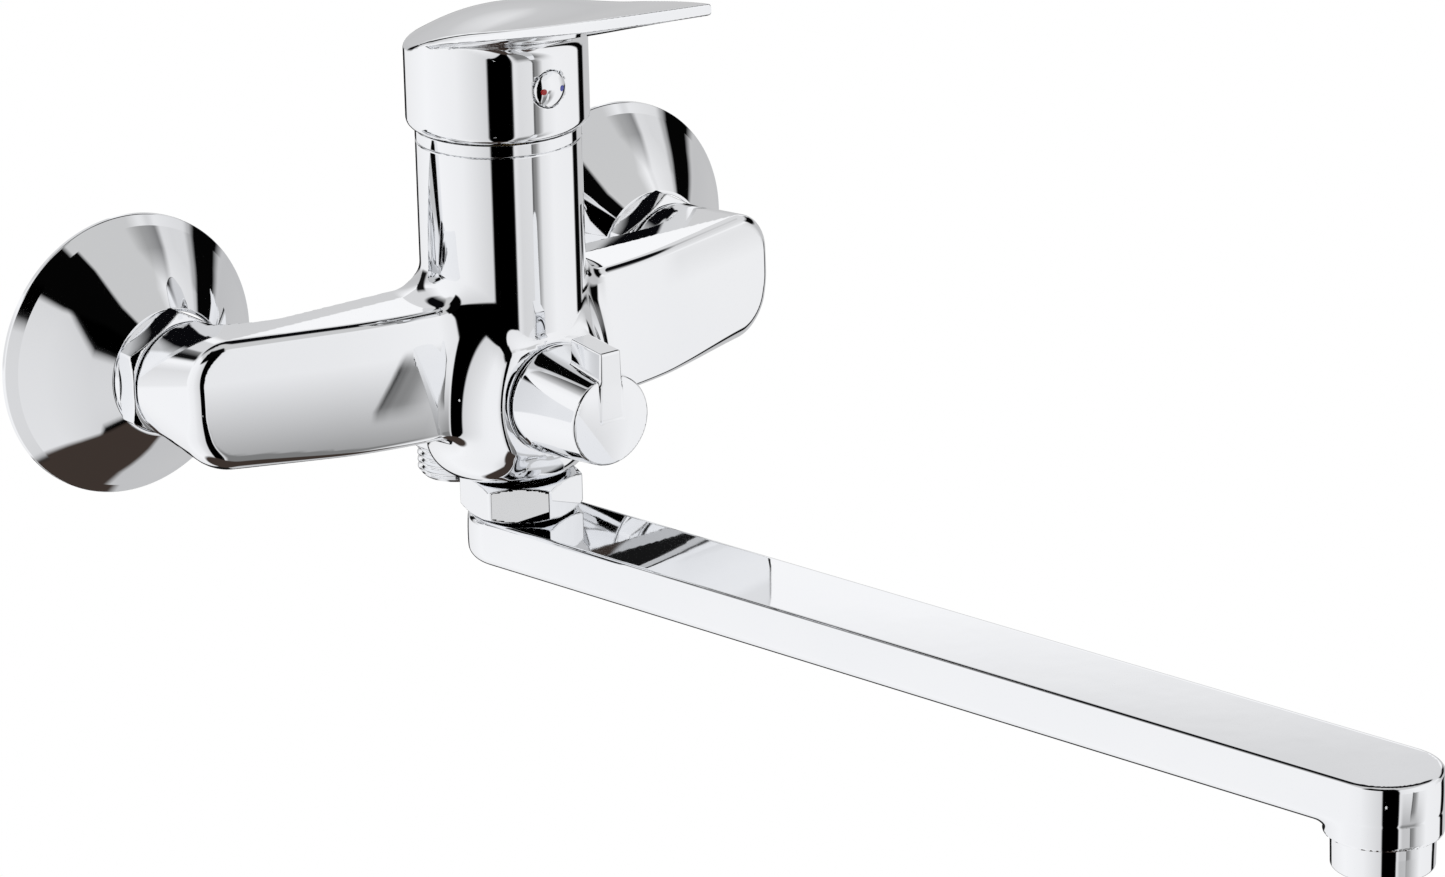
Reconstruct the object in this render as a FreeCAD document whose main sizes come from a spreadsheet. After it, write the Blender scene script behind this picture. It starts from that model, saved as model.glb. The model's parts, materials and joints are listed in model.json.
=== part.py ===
import FreeCAD, Part
import math
import os
from types import SimpleNamespace

import Sketcher

# Wall mounted single-lever bath mixer: two wall connections 150 mm apart, a bow-shaped body,
# a lever on a 35 mm ceramic cartridge, a diverter knob, a long swivel spout and a hose outlet.
# Origin: midway between the two wall inlets, on the wall face.  +X runs right along the wall,
# +Y goes into the wall, +Z is up.  Millimetres.

os.makedirs("parts", exist_ok=True)
doc = FreeCAD.newDocument("bath_mixer")
sheet = doc.addObject("Spreadsheet::Sheet", "Sizes")

# Driving dimensions.  Levels called *_above or *_below are measured from the union axis.
DRIVING = {
    "inlet_spacing": 150.0,
    "union_rise": 8.0,  # the eccentric connectors lift the unions above the wall inlets
    "inlet_thread": 10.4775,  # G 1/2 thread radius
    "inlet_length": 18.0,
    "union_thread": 13.1,  # G 3/4 thread radius
    "flange_radius": 36.0,
    "flange_depth": 20.0,
    "flange_mouth": 16.2,
    "union_nut_flats": 30.0,
    "column_depth": 58.6,  # column axis in front of the wall
    "column_radius": 20.7,
    "column_above": 55.4,
    "column_below": 31.5,
    "arm_height": 34.0,
    "arm_depth": 69.5,  # front of the arms at the middle
    "arm_sweep": 16.5,  # angle that the arms are swept back
    "seat_above": 20.0,  # floor of the cartridge bore
    "pivot_above": 49.0,  # pin that the lever tilts about
    "cap_radius": 22.85,
    "cap_above": 58.9,  # lower edge of the lever's cap
    "lever_top_above": 89.1,  # crest of the domed top, at the column axis
    "lever_slope": 11.7,
    "lever_reach": 91.0,  # column axis to lever tip
    "stem_lean": 12.0,  # the closed lever's stem leans forward
    "plug_above": 72.0,
    "plug_radius": 4.6,
    "knob_below": 7.9,
    "knob_back": 80.3,
    "knob_front": 103.5,
    "knob_big": 14.2,
    "knob_small": 11.35,
    "spout_depth": 63.5,  # swivel axis in front of the wall
    "spout_swing": 10.8,  # the spout is shown turned towards +X
    "spout_length": 267.0,
    "spout_width": 27.0,
    "spout_above": -41.5,  # top of the tube
    "spout_height": 12.5,
    "spout_nut_flats": 27.0,
    "outlet_depth": 36.0,  # hose outlet axis in front of the wall
    "aerator_radius": 12.0,
    "aerator_above": -65.5,
}


class Size:
    """A number together with the spreadsheet expression that gives it."""

    def __init__(self, value, text):
        self.value = float(value)
        self.text = text

    def __add__(self, other):
        other = as_size(other)
        return Size(self.value + other.value, f"({self.text} + {other.text})")

    def __sub__(self, other):
        other = as_size(other)
        return Size(self.value - other.value, f"({self.text} - {other.text})")

    def __mul__(self, other):
        other = as_size(other)
        return Size(self.value * other.value, f"({self.text} * {other.text})")

    def __neg__(self):
        return Size(-self.value, f"(0 - {self.text})")

    def __rsub__(self, other):
        return as_size(other) - self

    __radd__ = __add__
    __rmul__ = __mul__


def as_size(number):
    """Plain numbers become sizes, so that both can be mixed."""
    return number if isinstance(number, Size) else Size(number, f"({number})")


def fill_sheet():
    """Write the driving dimensions to the spreadsheet and return them as sizes."""
    found = {}
    for row, (alias, value) in enumerate(DRIVING.items(), start=1):
        sheet.set(f"A{row}", alias.replace("_", " "))
        sheet.set(f"B{row}", str(value))
        sheet.setAlias(f"B{row}", alias)
        found[alias] = Size(value, f"Sizes.{alias}")
    doc.recompute()
    return SimpleNamespace(**found)


S = fill_sheet()
UNION = S.union_rise
HALF_SPACING = S.inlet_spacing * 0.5
COLUMN_Y = -S.column_depth
SPOUT_Y = -S.spout_depth
GAP = 0.3  # clearance between the trim ring and the lever's cap
ARM_ROUND = 2.5
BAR_ROUND = 2.4
SIDES = {"left": -1, "right": 1}

# Water ports under the cartridge, from the column axis: (x, y, radius).
INLET_PORT = (6.2, -4.6, 2.4)
MIXED_PORT = (0.0, 6.2, 3.4)
PORTS = [(-INLET_PORT[0], *INLET_PORT[1:]), INLET_PORT, MIXED_PORT]

exported = []


def bind(thing, path, size):
    """Tie one property of an object to the spreadsheet."""
    thing.setExpression(path, as_size(size).text)


def keep(thing, label):
    """Name a finished sub-part; its label names its file."""
    thing.Label = label
    exported.append(thing)
    return thing


# ---------------------------------------------------------------- sketches and turned pieces


def origin_plane(body, role):
    return next(item for item in body.Origin.OriginFeatures if item.Role == role)


def new_sketch(body, role, offset):
    """A sketch on one of the body's own planes, shifted by three sizes in the plane's axes."""
    sketch = body.newObject("Sketcher::SketchObject", "Outline")
    sketch.AttachmentSupport = [(origin_plane(body, role), "")]
    sketch.MapMode = "FlatFace"
    for axis, distance in zip("xyz", offset):
        bind(sketch, f"AttachmentOffset.Base.{axis}", distance)
    return sketch


def arc_between(start, end, radius):
    """The short arc from start to end; it turns left for a positive radius, else right."""
    chord = end - start
    middle = (start + end) * 0.5
    reach = math.sqrt(radius * radius - chord.Length**2 / 4)
    left = FreeCAD.Vector(-chord.y, chord.x, 0).normalize()
    side = 1 if radius > 0 else -1
    centre = middle + left * (reach * side)
    first, last = (start, end) if radius > 0 else (end, start)
    circle = Part.Circle(centre, FreeCAD.Vector(0, 0, 1), abs(radius))
    return Part.ArcOfCircle(circle, circle.parameter(first), circle.parameter(last))


def hold(sketch, index, corner, point):
    """Fix one corner at its two sizes, tied to the spreadsheet."""
    for kind, axis, size in (("DistanceX", -2, point[0]), ("DistanceY", -1, point[1])):
        size = as_size(size)
        if size.value == 0:
            sketch.addConstraint(Sketcher.Constraint("PointOnObject", index, corner, axis))
            continue
        number = sketch.addConstraint(Sketcher.Constraint(kind, index, corner, size.value))
        sketch.setExpression(f"Constraints[{number}]", size.text)


def outline(sketch, points):
    """A closed outline.  A point is (x, y), or (x, y, radius) when an arc leads on from it."""
    corners = [FreeCAD.Vector(as_size(p[0]).value, as_size(p[1]).value, 0) for p in points]
    ends = []
    for index, point in enumerate(points):
        start = corners[index]
        end = corners[(index + 1) % len(points)]
        turn = point[2] if len(point) > 2 else 0
        if turn:
            sketch.addGeometry(arc_between(start, end, turn), False)
            ends.append((1, 2) if turn > 0 else (2, 1))
        else:
            sketch.addGeometry(Part.LineSegment(start, end), False)
            ends.append((1, 2))
    for index, point in enumerate(points):
        following = (index + 1) % len(points)
        joint = Sketcher.Constraint(
            "Coincident", index, ends[index][1], following, ends[following][0]
        )
        sketch.addConstraint(joint)
        hold(sketch, index, ends[index][0], point)
        if len(point) > 2:
            sketch.addConstraint(Sketcher.Constraint("Radius", index, abs(point[2])))


def new_body(name):
    return doc.addObject("PartDesign::Body", name)


def add_turning(body, role, offset, points):
    """Turn an outline about the sketch's upright axis."""
    sketch = new_sketch(body, role, offset)
    outline(sketch, points)
    feature = body.newObject("PartDesign::Revolution", "Turning")
    feature.Profile = sketch
    feature.ReferenceAxis = (sketch, ["V_Axis"])
    feature.Angle = 360
    return feature


def upright(centre):
    """Plane and offset of a sketch whose upright axis is parallel to Z, at centre (x, y)."""
    return "XZ_Plane", (centre[0], 0, -as_size(centre[1]))


def level(centre):
    """Plane and offset of a sketch whose upright axis is parallel to Y, at centre (x, z)."""
    return "XY_Plane", (centre[0], 0, centre[1])


def turned(name, place, points, label=None):
    """A turned piece: outline of (radius, height along the axis)."""
    body = new_body(name)
    add_turning(body, *place, points)
    return keep(body, label) if label else body


def washer(inner, outer, low, high):
    """Outline of a plain ring."""
    return [(inner, low), (outer, low), (outer, high), (inner, high)]


def add_pad(body, role, offset, points, length):
    sketch = new_sketch(body, role, offset)
    outline(sketch, points)
    feature = body.newObject("PartDesign::Pad", "Pad")
    feature.Profile = sketch
    bind(feature, "Length", length)
    return feature


# ---------------------------------------------------------------- primitives and booleans


def turn_to(direction):
    """The rotation that takes +Z to a direction."""
    return FreeCAD.Rotation(FreeCAD.Vector(0, 0, 1), FreeCAD.Vector(*direction))


def put(thing, base, rotation=None):
    if rotation is not None:
        thing.Placement = FreeCAD.Placement(FreeCAD.Vector(), rotation)
    for axis, distance in zip("xyz", base):
        bind(thing, f"Placement.Base.{axis}", distance)
    return thing


def cylinder(name, radius, length, base, direction=(0, 0, 1)):
    rod = doc.addObject("Part::Cylinder", name)
    bind(rod, "Radius", radius)
    bind(rod, "Height", length)
    return put(rod, base, turn_to(direction))


def box(name, size, base, rotation=None):
    block = doc.addObject("Part::Box", name)
    for side, length in zip(("Length", "Width", "Height"), size):
        bind(block, side, length)
    return put(block, base, rotation)


def ring(name, middle, thickness, base, direction=(0, 0, 1)):
    """A round-section ring such as an O-ring."""
    torus = doc.addObject("Part::Torus", name)
    bind(torus, "Radius1", middle)
    bind(torus, "Radius2", thickness)
    return put(torus, base, turn_to(direction))


def fuse(name, *pieces):
    joined = doc.addObject("Part::MultiFuse", name)
    joined.Shapes = list(pieces)
    joined.Refine = False
    return joined


def group(name, *pieces):
    """Several separate solids in one sub-part."""
    held = doc.addObject("Part::Compound", name)
    held.Links = list(pieces)
    return held


def cut(name, base, *tools):
    result = base
    for number, tool in enumerate(tools, start=1):
        step = doc.addObject("Part::Cut", f"{name}_{number}")
        step.Base = result
        step.Tool = tool
        step.Refine = False
        result = step
    return result


def common(name, first, second):
    shared = doc.addObject("Part::Common", name)
    shared.Base = first
    shared.Tool = second
    shared.Refine = False
    return shared


def prism(name, flats, length, base, rotation):
    """A six-sided bar given by its width across flats."""
    bar = doc.addObject("Part::Prism", name)
    bar.Polygon = 6
    bind(bar, "Circumradius", flats * (1 / math.sqrt(3)))
    bind(bar, "Height", length)
    return put(bar, base, rotation)


def chamfered(low, high, radius, flats):
    """Outline of a bar end-chamfered as a nut is."""
    edge = flats * 0.5
    drop = 1.1
    return [
        (0, low),
        (edge, low),
        (radius, low + drop),
        (radius, high - drop),
        (edge, high),
        (0, high),
    ]


# ---------------------------------------------------------------- body casting


def arm_outline():
    """The bow seen from above: flat in the middle, then bent back into two straight arms.

    The back is stepped, to clear the unions.
    """
    sweep = math.radians(S.arm_sweep.value)
    flat = 12.0
    bend = 140.0
    front = -S.arm_depth
    bend_end = flat + bend * math.sin(sweep)
    bend_back = front + bend * (1 - math.cos(sweep))
    end = HALF_SPACING + 10.5
    end_back = bend_back + (end - bend_end) * math.tan(sweep)
    right = [
        (flat, front, bend),
        (bend_end, bend_back),
        (end, end_back, 3.5),
        (HALF_SPACING + 13.3, -50.0),
        (HALF_SPACING + 14.6, -38.5, 3.0),
        (HALF_SPACING + 11.6, -35.5),
        (HALF_SPACING - 10.0, -35.5, -26.0),
        (HALF_SPACING - 27.0, -44.0),
    ]
    left = [
        (-(HALF_SPACING - 27.0), -44.0, -26.0),
        (-(HALF_SPACING - 10.0), -35.5),
        (-(HALF_SPACING + 11.6), -35.5, 3.0),
        (-(HALF_SPACING + 14.6), -38.5),
        (-(HALF_SPACING + 13.3), -50.0, 3.5),
        (-end, end_back),
        (-bend_end, bend_back, bend),
        (-flat, front),
    ]
    return right + left


def mixer_casting():
    """Arms, column, knob boss, union ends, hose boss and the threaded stub of the spout."""
    body = new_body("Casting")
    half = S.arm_height * 0.5
    arms = add_pad(body, "XY_Plane", (0, 0, UNION - half), arm_outline(), S.arm_height)
    doc.recompute()
    flat_edges = [
        f"Edge{number}"
        for number, edge in enumerate(arms.Shape.Edges, start=1)
        if edge.BoundBox.ZLength < 0.01
    ]
    rounding = body.newObject("PartDesign::Fillet", "Creases")
    rounding.Base = (arms, flat_edges)
    rounding.Radius = ARM_ROUND
    body.Tip = rounding

    radius = S.column_radius
    base_round = 8.0
    column = [
        (0, UNION - S.column_below),
        (radius - base_round, UNION - S.column_below, base_round),
        (radius, UNION - S.column_below + base_round),
        (radius, UNION + S.column_above),
        (0, UNION + S.column_above),
    ]
    add_turning(body, *upright((0, COLUMN_Y)), column)
    boss = [
        (0, -(S.knob_back - 0.5)),
        (S.knob_big + 0.4, -(S.knob_back - 0.5)),
        (S.knob_big + 0.8, COLUMN_Y),
        (0, COLUMN_Y),
    ]
    add_turning(body, *level((0, UNION - S.knob_below)), boss)
    hose_radius = S.inlet_thread + 2.6
    hose_boss = [
        (0, UNION - 30.0),
        (hose_radius - 1.5, UNION - 30.0, 1.5),
        (hose_radius, UNION - 28.5),
        (hose_radius, UNION - 4.0, 9.0),
        (hose_radius - 9.0, UNION + 5.0),
        (0, UNION + 5.0),
    ]
    add_turning(body, *upright((0, -S.outlet_depth)), hose_boss)
    stub = [
        (0, UNION - 35.9),
        (S.inlet_thread, UNION - 35.9),
        (S.inlet_thread, UNION - 25.0),
        (0, UNION - 25.0),
    ]
    add_turning(body, *upright((0, SPOUT_Y)), stub)
    for side in SIDES.values():
        neck = [(0, -28.2), (14.0, -28.2, -1.0), (15.0, -29.2), (16.6, -40.0), (0, -40.0)]
        add_turning(body, *level((HALF_SPACING * side, UNION)), neck)
    return body


def waterways():
    """Everything that is bored out of the casting."""
    down = (0, 0, -1)
    top = UNION + S.column_above + 1.0
    seat = UNION + S.seat_above
    mixed_x, mixed_y, mixed_radius = MIXED_PORT
    inlet_x, inlet_y, inlet_radius = INLET_PORT
    holes = [
        cylinder("Cartridge_bore", 17.7, top - seat, (0, COLUMN_Y, seat)),
        cylinder("Nut_thread", 18.3, top - (UNION + 46.2), (0, COLUMN_Y, UNION + 46.2)),
        cylinder("Mixed_port", mixed_radius, 24.0, (mixed_x, COLUMN_Y + mixed_y, seat + 1.0), down),
        cylinder("Diverter_bore", 9.5, 33.0, (0, -81.0, UNION - S.knob_below), (0, 1, 0)),
        cylinder("Hose_link", 5.0, 14.0, (0, -50.0, UNION - S.knob_below), (0, 1, 0)),
        cylinder("Spout_bore", 8.0, 30.0, (0, SPOUT_Y, UNION - 39.0)),
        cylinder("Hose_bore", 6.0, 23.0, (0, -S.outlet_depth, UNION - 31.0)),
        cylinder("Hose_thread", 10.25, 11.5, (0, -S.outlet_depth, UNION - 31.5)),
        cylinder("Hose_face", S.inlet_thread + 3.0, 3.0, (0, -S.outlet_depth, UNION - 33.0)),
    ]
    for side in SIDES.values():
        end = HALF_SPACING * side
        port = (inlet_x * side, COLUMN_Y + inlet_y)
        elbow = (48.0 * side, -53.5, UNION + 4.0)
        start = (75.0 * side, -43.0, UNION)
        holes += [
            cylinder("Union_thread", 9.0, 10.0, (end, -26.5, UNION), (0, -1, 0)),
            cylinder("Union_bore", 6.5, 17.0, (end, -27.0, UNION), (0, -1, 0)),
            cylinder("Inlet_port", inlet_radius, 13.0, (*port, seat + 1.0), down),
            cylinder("Peg_hole", 2.1, 4.0, (9.0 * side, COLUMN_Y + 11.5, seat - 3.0)),
            waterway("Outer_duct", start, elbow, 6.0),
            waterway("Inner_duct", elbow, (*port, UNION + 9.5), 4.8),
        ]
    return fuse("Waterways", *holes)


def waterway(name, start, end, radius):
    """A round duct between two points, with a ball at its far end to open the elbow."""
    values = [[as_size(size).value for size in point] for point in (start, end)]
    run = FreeCAD.Vector(*values[1]) - FreeCAD.Vector(*values[0])
    rod = cylinder(name, radius, run.Length, start, tuple(run))
    ball = doc.addObject("Part::Sphere", f"{name}_elbow")
    bind(ball, "Radius", radius)
    put(ball, end)
    return fuse(f"{name}_way", rod, ball)


def make_mixer_body():
    keep(cut("Body", mixer_casting(), waterways()), "mixer_body")


# ---------------------------------------------------------------- wall connections


def make_wall_connection(name, side):
    """Eccentric connector, escutcheon, gasket, captive nut and union tail of one inlet."""
    inlet_x = HALF_SPACING * side
    union_axis = level((inlet_x, UNION))
    thread_end = S.flange_depth + 0.9

    spigot = cylinder("Spigot", S.inlet_thread, S.inlet_length, (inlet_x, 0, 0), (0, 1, 0))
    foot = cylinder("Foot", 12.5, 8.0, (inlet_x, 0, 0), (0, -1, 0))
    shoulder = cylinder("Shoulder", 12.8, 5.0, (inlet_x, -3.0, UNION), (0, -1, 0))
    thread = cylinder(
        "Union_end", S.union_thread, thread_end - 7.0, (inlet_x, -7.0, UNION), (0, -1, 0)
    )
    wall_bore = cylinder("Wall_bore", 6.5, 23.5, (inlet_x, S.inlet_length + 0.5, 0), (0, -1, 0))
    union_bore = cylinder("Near_bore", 7.5, thread_end - 3.0, (inlet_x, -4.0, UNION), (0, -1, 0))
    metal = fuse("Connector", spigot, foot, shoulder, thread)
    keep(cut(f"Eccentric_{name}", metal, wall_bore, union_bore), f"eccentric_union_{name}")

    mouth = S.flange_mouth
    rim = S.flange_radius
    wall = 1.2
    flange = [
        (rim, 0),
        (rim, -1.2),
        (rim - 2.5, -3.4, -24.0),
        (rim - 12.5, -11.0, 30.0),
        (mouth, -S.flange_depth),
        (mouth - wall, -S.flange_depth, -30.0),
        (rim - 13.5, -10.2, 24.0),
        (rim - 3.9, -2.8),
        (rim - 1.4, -1.2),
        (rim - 1.4, 0),
    ]
    turned(f"Flange_{name}", union_axis, flange, f"wall_flange_{name}")

    gasket = washer(8.0, 12.7, -thread_end - 1.5, -thread_end)
    turned(f"Gasket_{name}", union_axis, gasket, f"union_gasket_{name}")

    tail = [
        (6.4, -36.0),
        (8.95, -36.0),
        (8.95, -28.1),
        (10.8, -28.1),
        (10.8, -24.3),
        (12.7, -24.3),
        (12.7, -22.4),
        (6.4, -22.4),
    ]
    turned(f"Tail_{name}", union_axis, tail, f"union_tail_{name}")

    nut_back = -S.flange_depth - 0.3
    nut_front = nut_back - 7.2
    corner = S.union_nut_flats * (1 / math.sqrt(3))
    hexagon = prism(
        f"Hexagon_{name}",
        S.union_nut_flats,
        nut_back - nut_front,
        (inlet_x, nut_back, UNION),
        FreeCAD.Rotation(FreeCAD.Vector(1, 0, 0), 90) * FreeCAD.Rotation(30, 0, 0),
    )
    envelope = turned(
        f"Envelope_{name}",
        union_axis,
        chamfered(nut_front, nut_back, corner, S.union_nut_flats),
    )
    skirt = cylinder(f"Skirt_{name}", 14.7, 10.0, (inlet_x, nut_front + 1.0, UNION), (0, 1, 0))
    bore = turned(
        f"Nut_bore_{name}",
        union_axis,
        [
            (0, nut_front - 1.0),
            (11.1, nut_front - 1.0),
            (11.1, -24.6),
            (13.15, -24.6),
            (13.15, -10.0),
            (0, -10.0),
        ],
    )
    nut = fuse(f"Nut_metal_{name}", common(f"Nut_hexagon_{name}", hexagon, envelope), skirt)
    keep(cut(f"Union_nut_{name}", nut, bore), f"union_nut_{name}")


# ---------------------------------------------------------------- cartridge


def make_cartridge():
    axis = upright((0, COLUMN_Y))
    seat = UNION + S.seat_above
    pivot = UNION + S.pivot_above

    def port(name, x, y, radius, low, length):
        return cylinder(name, radius, length, (x, COLUMN_Y + y, low))

    # Base: plastic plate with two locating pegs and three seal pockets.
    plate = cylinder("Base_plate", 17.4, 5.5, (0, COLUMN_Y, seat + 0.5))
    pegs = [port("Peg", 9.0 * side, 11.5, 2.0, seat - 2.6, 4.0) for side in SIDES.values()]
    base_holes = [port("Base_port", x, y, r, seat - 1.0, 9.0) for x, y, r in PORTS]
    pockets = [port("Seal_pocket", x, y, r + 1.5, seat + 0.4, 1.3) for x, y, r in PORTS]
    base = cut("Base", fuse("Base_metal", plate, *pegs), fuse("Base_ports", *base_holes, *pockets))
    keep(base, "cartridge_base")

    seals = []
    for x, y, r in PORTS:
        outer = port("Seal_outer", x, y, r + 1.45, seat, 1.65)
        inner = port("Seal_inner", x, y, r + 0.1, seat - 1.0, 4.0)
        seals.append(cut("Seal", outer, inner))
    keep(group("Seals", *seals), "cartridge_seals")

    disc_low = seat + 6.0
    fixed = cylinder("Fixed_metal", 14.6, 4.0, (0, COLUMN_Y, disc_low))
    fixed_ports = [port("Fixed_port", x, y, r, disc_low - 1.0, 6.0) for x, y, r in PORTS]
    keep(cut("Fixed", fixed, fuse("Fixed_ports", *fixed_ports)), "fixed_ceramic_disc")

    # The moving disc has a chamber in its underside.  Closed, the chamber clears both inlets;
    # as the lever lifts, the stem's foot slides the disc forward over them.
    lean = FreeCAD.Rotation(FreeCAD.Vector(1, 0, 0), S.stem_lean.value)
    up = lean.multVec(FreeCAD.Vector(0, 0, 1))
    foot_at = up * -12.0
    foot_radius = 2.4
    disc_y = COLUMN_Y + foot_at.y
    moving_low = disc_low + 4.05
    moving = cylinder("Moving_metal", 12.3, 4.0, (0, disc_y, moving_low))
    chamber = cylinder("Chamber", 6.3, 2.5, (0, disc_y, moving_low - 0.1))
    keep(cut("Moving", moving, chamber), "moving_ceramic_disc")

    driver_low = moving_low + 4.0
    driver_plate = cylinder("Driver_plate", 12.0, 3.2, (0, disc_y, driver_low))
    slot_half = foot_radius + 0.15
    socket = box(
        "Driver_slot",
        (2 * slot_half, 2 * slot_half, 6.0),
        (-slot_half, disc_y - slot_half, driver_low + 0.3),
    )
    keep(cut("Driver", driver_plate, socket), "disc_driver")

    housing = [
        (17.4, disc_low),
        (17.4, UNION + 45.8),
        (13.6, UNION + 45.8),
        (13.6, UNION + 57.0),
        (12.2, UNION + 57.0),
        (12.2, UNION + 38.6),
        (15.2, UNION + 38.6),
        (15.2, disc_low),
    ]
    turned("Housing", axis, housing, "cartridge_housing")

    # Carrier: turns in the housing with the lever and holds the tilt pin.
    carrier_low = UNION + 38.2
    carrier = cylinder("Carrier_metal", 11.9, 18.0, (0, COLUMN_Y, carrier_low))
    foot_flange = cylinder("Carrier_flange", 14.6, 0.9, (0, COLUMN_Y, UNION + 37.5))
    slot = box("Stem_slot", (8.4, 17.0, 22.0), (-4.2, COLUMN_Y - 8.5, UNION + 36.0))
    pin_hole = cylinder("Pin_hole", 1.55, 20.0, (-10.0, COLUMN_Y, pivot), (1, 0, 0))
    carrier_metal = fuse("Carrier_body", carrier, foot_flange)
    keep(cut("Carrier", carrier_metal, slot, pin_hole), "cartridge_carrier")
    pin = cylinder("Pin", 1.5, 19.0, (-9.5, COLUMN_Y, pivot), (1, 0, 0))
    keep(pin, "tilt_pin")

    # Stem: a square bar on the tilt pin, with a round foot in the driver's slot.
    across = lean.multVec(FreeCAD.Vector(0, 1, 0))
    low, high, half = -7.0, 24.5, 3.4
    corner = up * low - across * half
    bar = box(
        "Stem_bar",
        (2 * half, 2 * half, high - low),
        (-half, COLUMN_Y + corner.y, pivot + corner.z),
        lean,
    )
    foot_place = (0, COLUMN_Y + foot_at.y, pivot + foot_at.z)
    ball = doc.addObject("Part::Sphere", "Stem_foot")
    bind(ball, "Radius", foot_radius)
    put(ball, foot_place)
    ankle = cylinder("Stem_ankle", 1.9, 6.0, foot_place, tuple(up))
    hole = cylinder("Stem_hole", 1.55, 20.0, (-10.0, COLUMN_Y, pivot), (1, 0, 0))
    keep(cut("Stem", fuse("Stem_metal", bar, ankle, ball), hole), "cartridge_stem")

    nut = washer(13.9, 18.2, UNION + 46.3, UNION + 54.6)
    nut_ring = turned("Nut_ring", axis, nut)
    notches = [
        box(f"Notch_{index}", (4.0, 44.0, 3.0), (0, COLUMN_Y, UNION + 52.4))
        for index in range(3)
    ]
    for index, notch in enumerate(notches):
        turn = FreeCAD.Rotation(60 * index, 0, 0)
        shift = turn.multVec(FreeCAD.Vector(-2.0, -22.0, 0))
        put(notch, (shift.x, COLUMN_Y + shift.y, UNION + 52.4), turn)
    keep(cut("Cartridge_nut", nut_ring, fuse("Notches", *notches)), "cartridge_nut")

    trim = [
        (14.4, UNION + S.column_above),
        (S.column_radius, UNION + S.column_above),
        (S.column_radius, UNION + S.cap_above - 0.8),
        (S.column_radius - 0.5, UNION + S.cap_above - GAP),
        (14.4, UNION + S.cap_above - GAP),
    ]
    turned("Trim", axis, trim, "trim_ring")


# ---------------------------------------------------------------- lever


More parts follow.
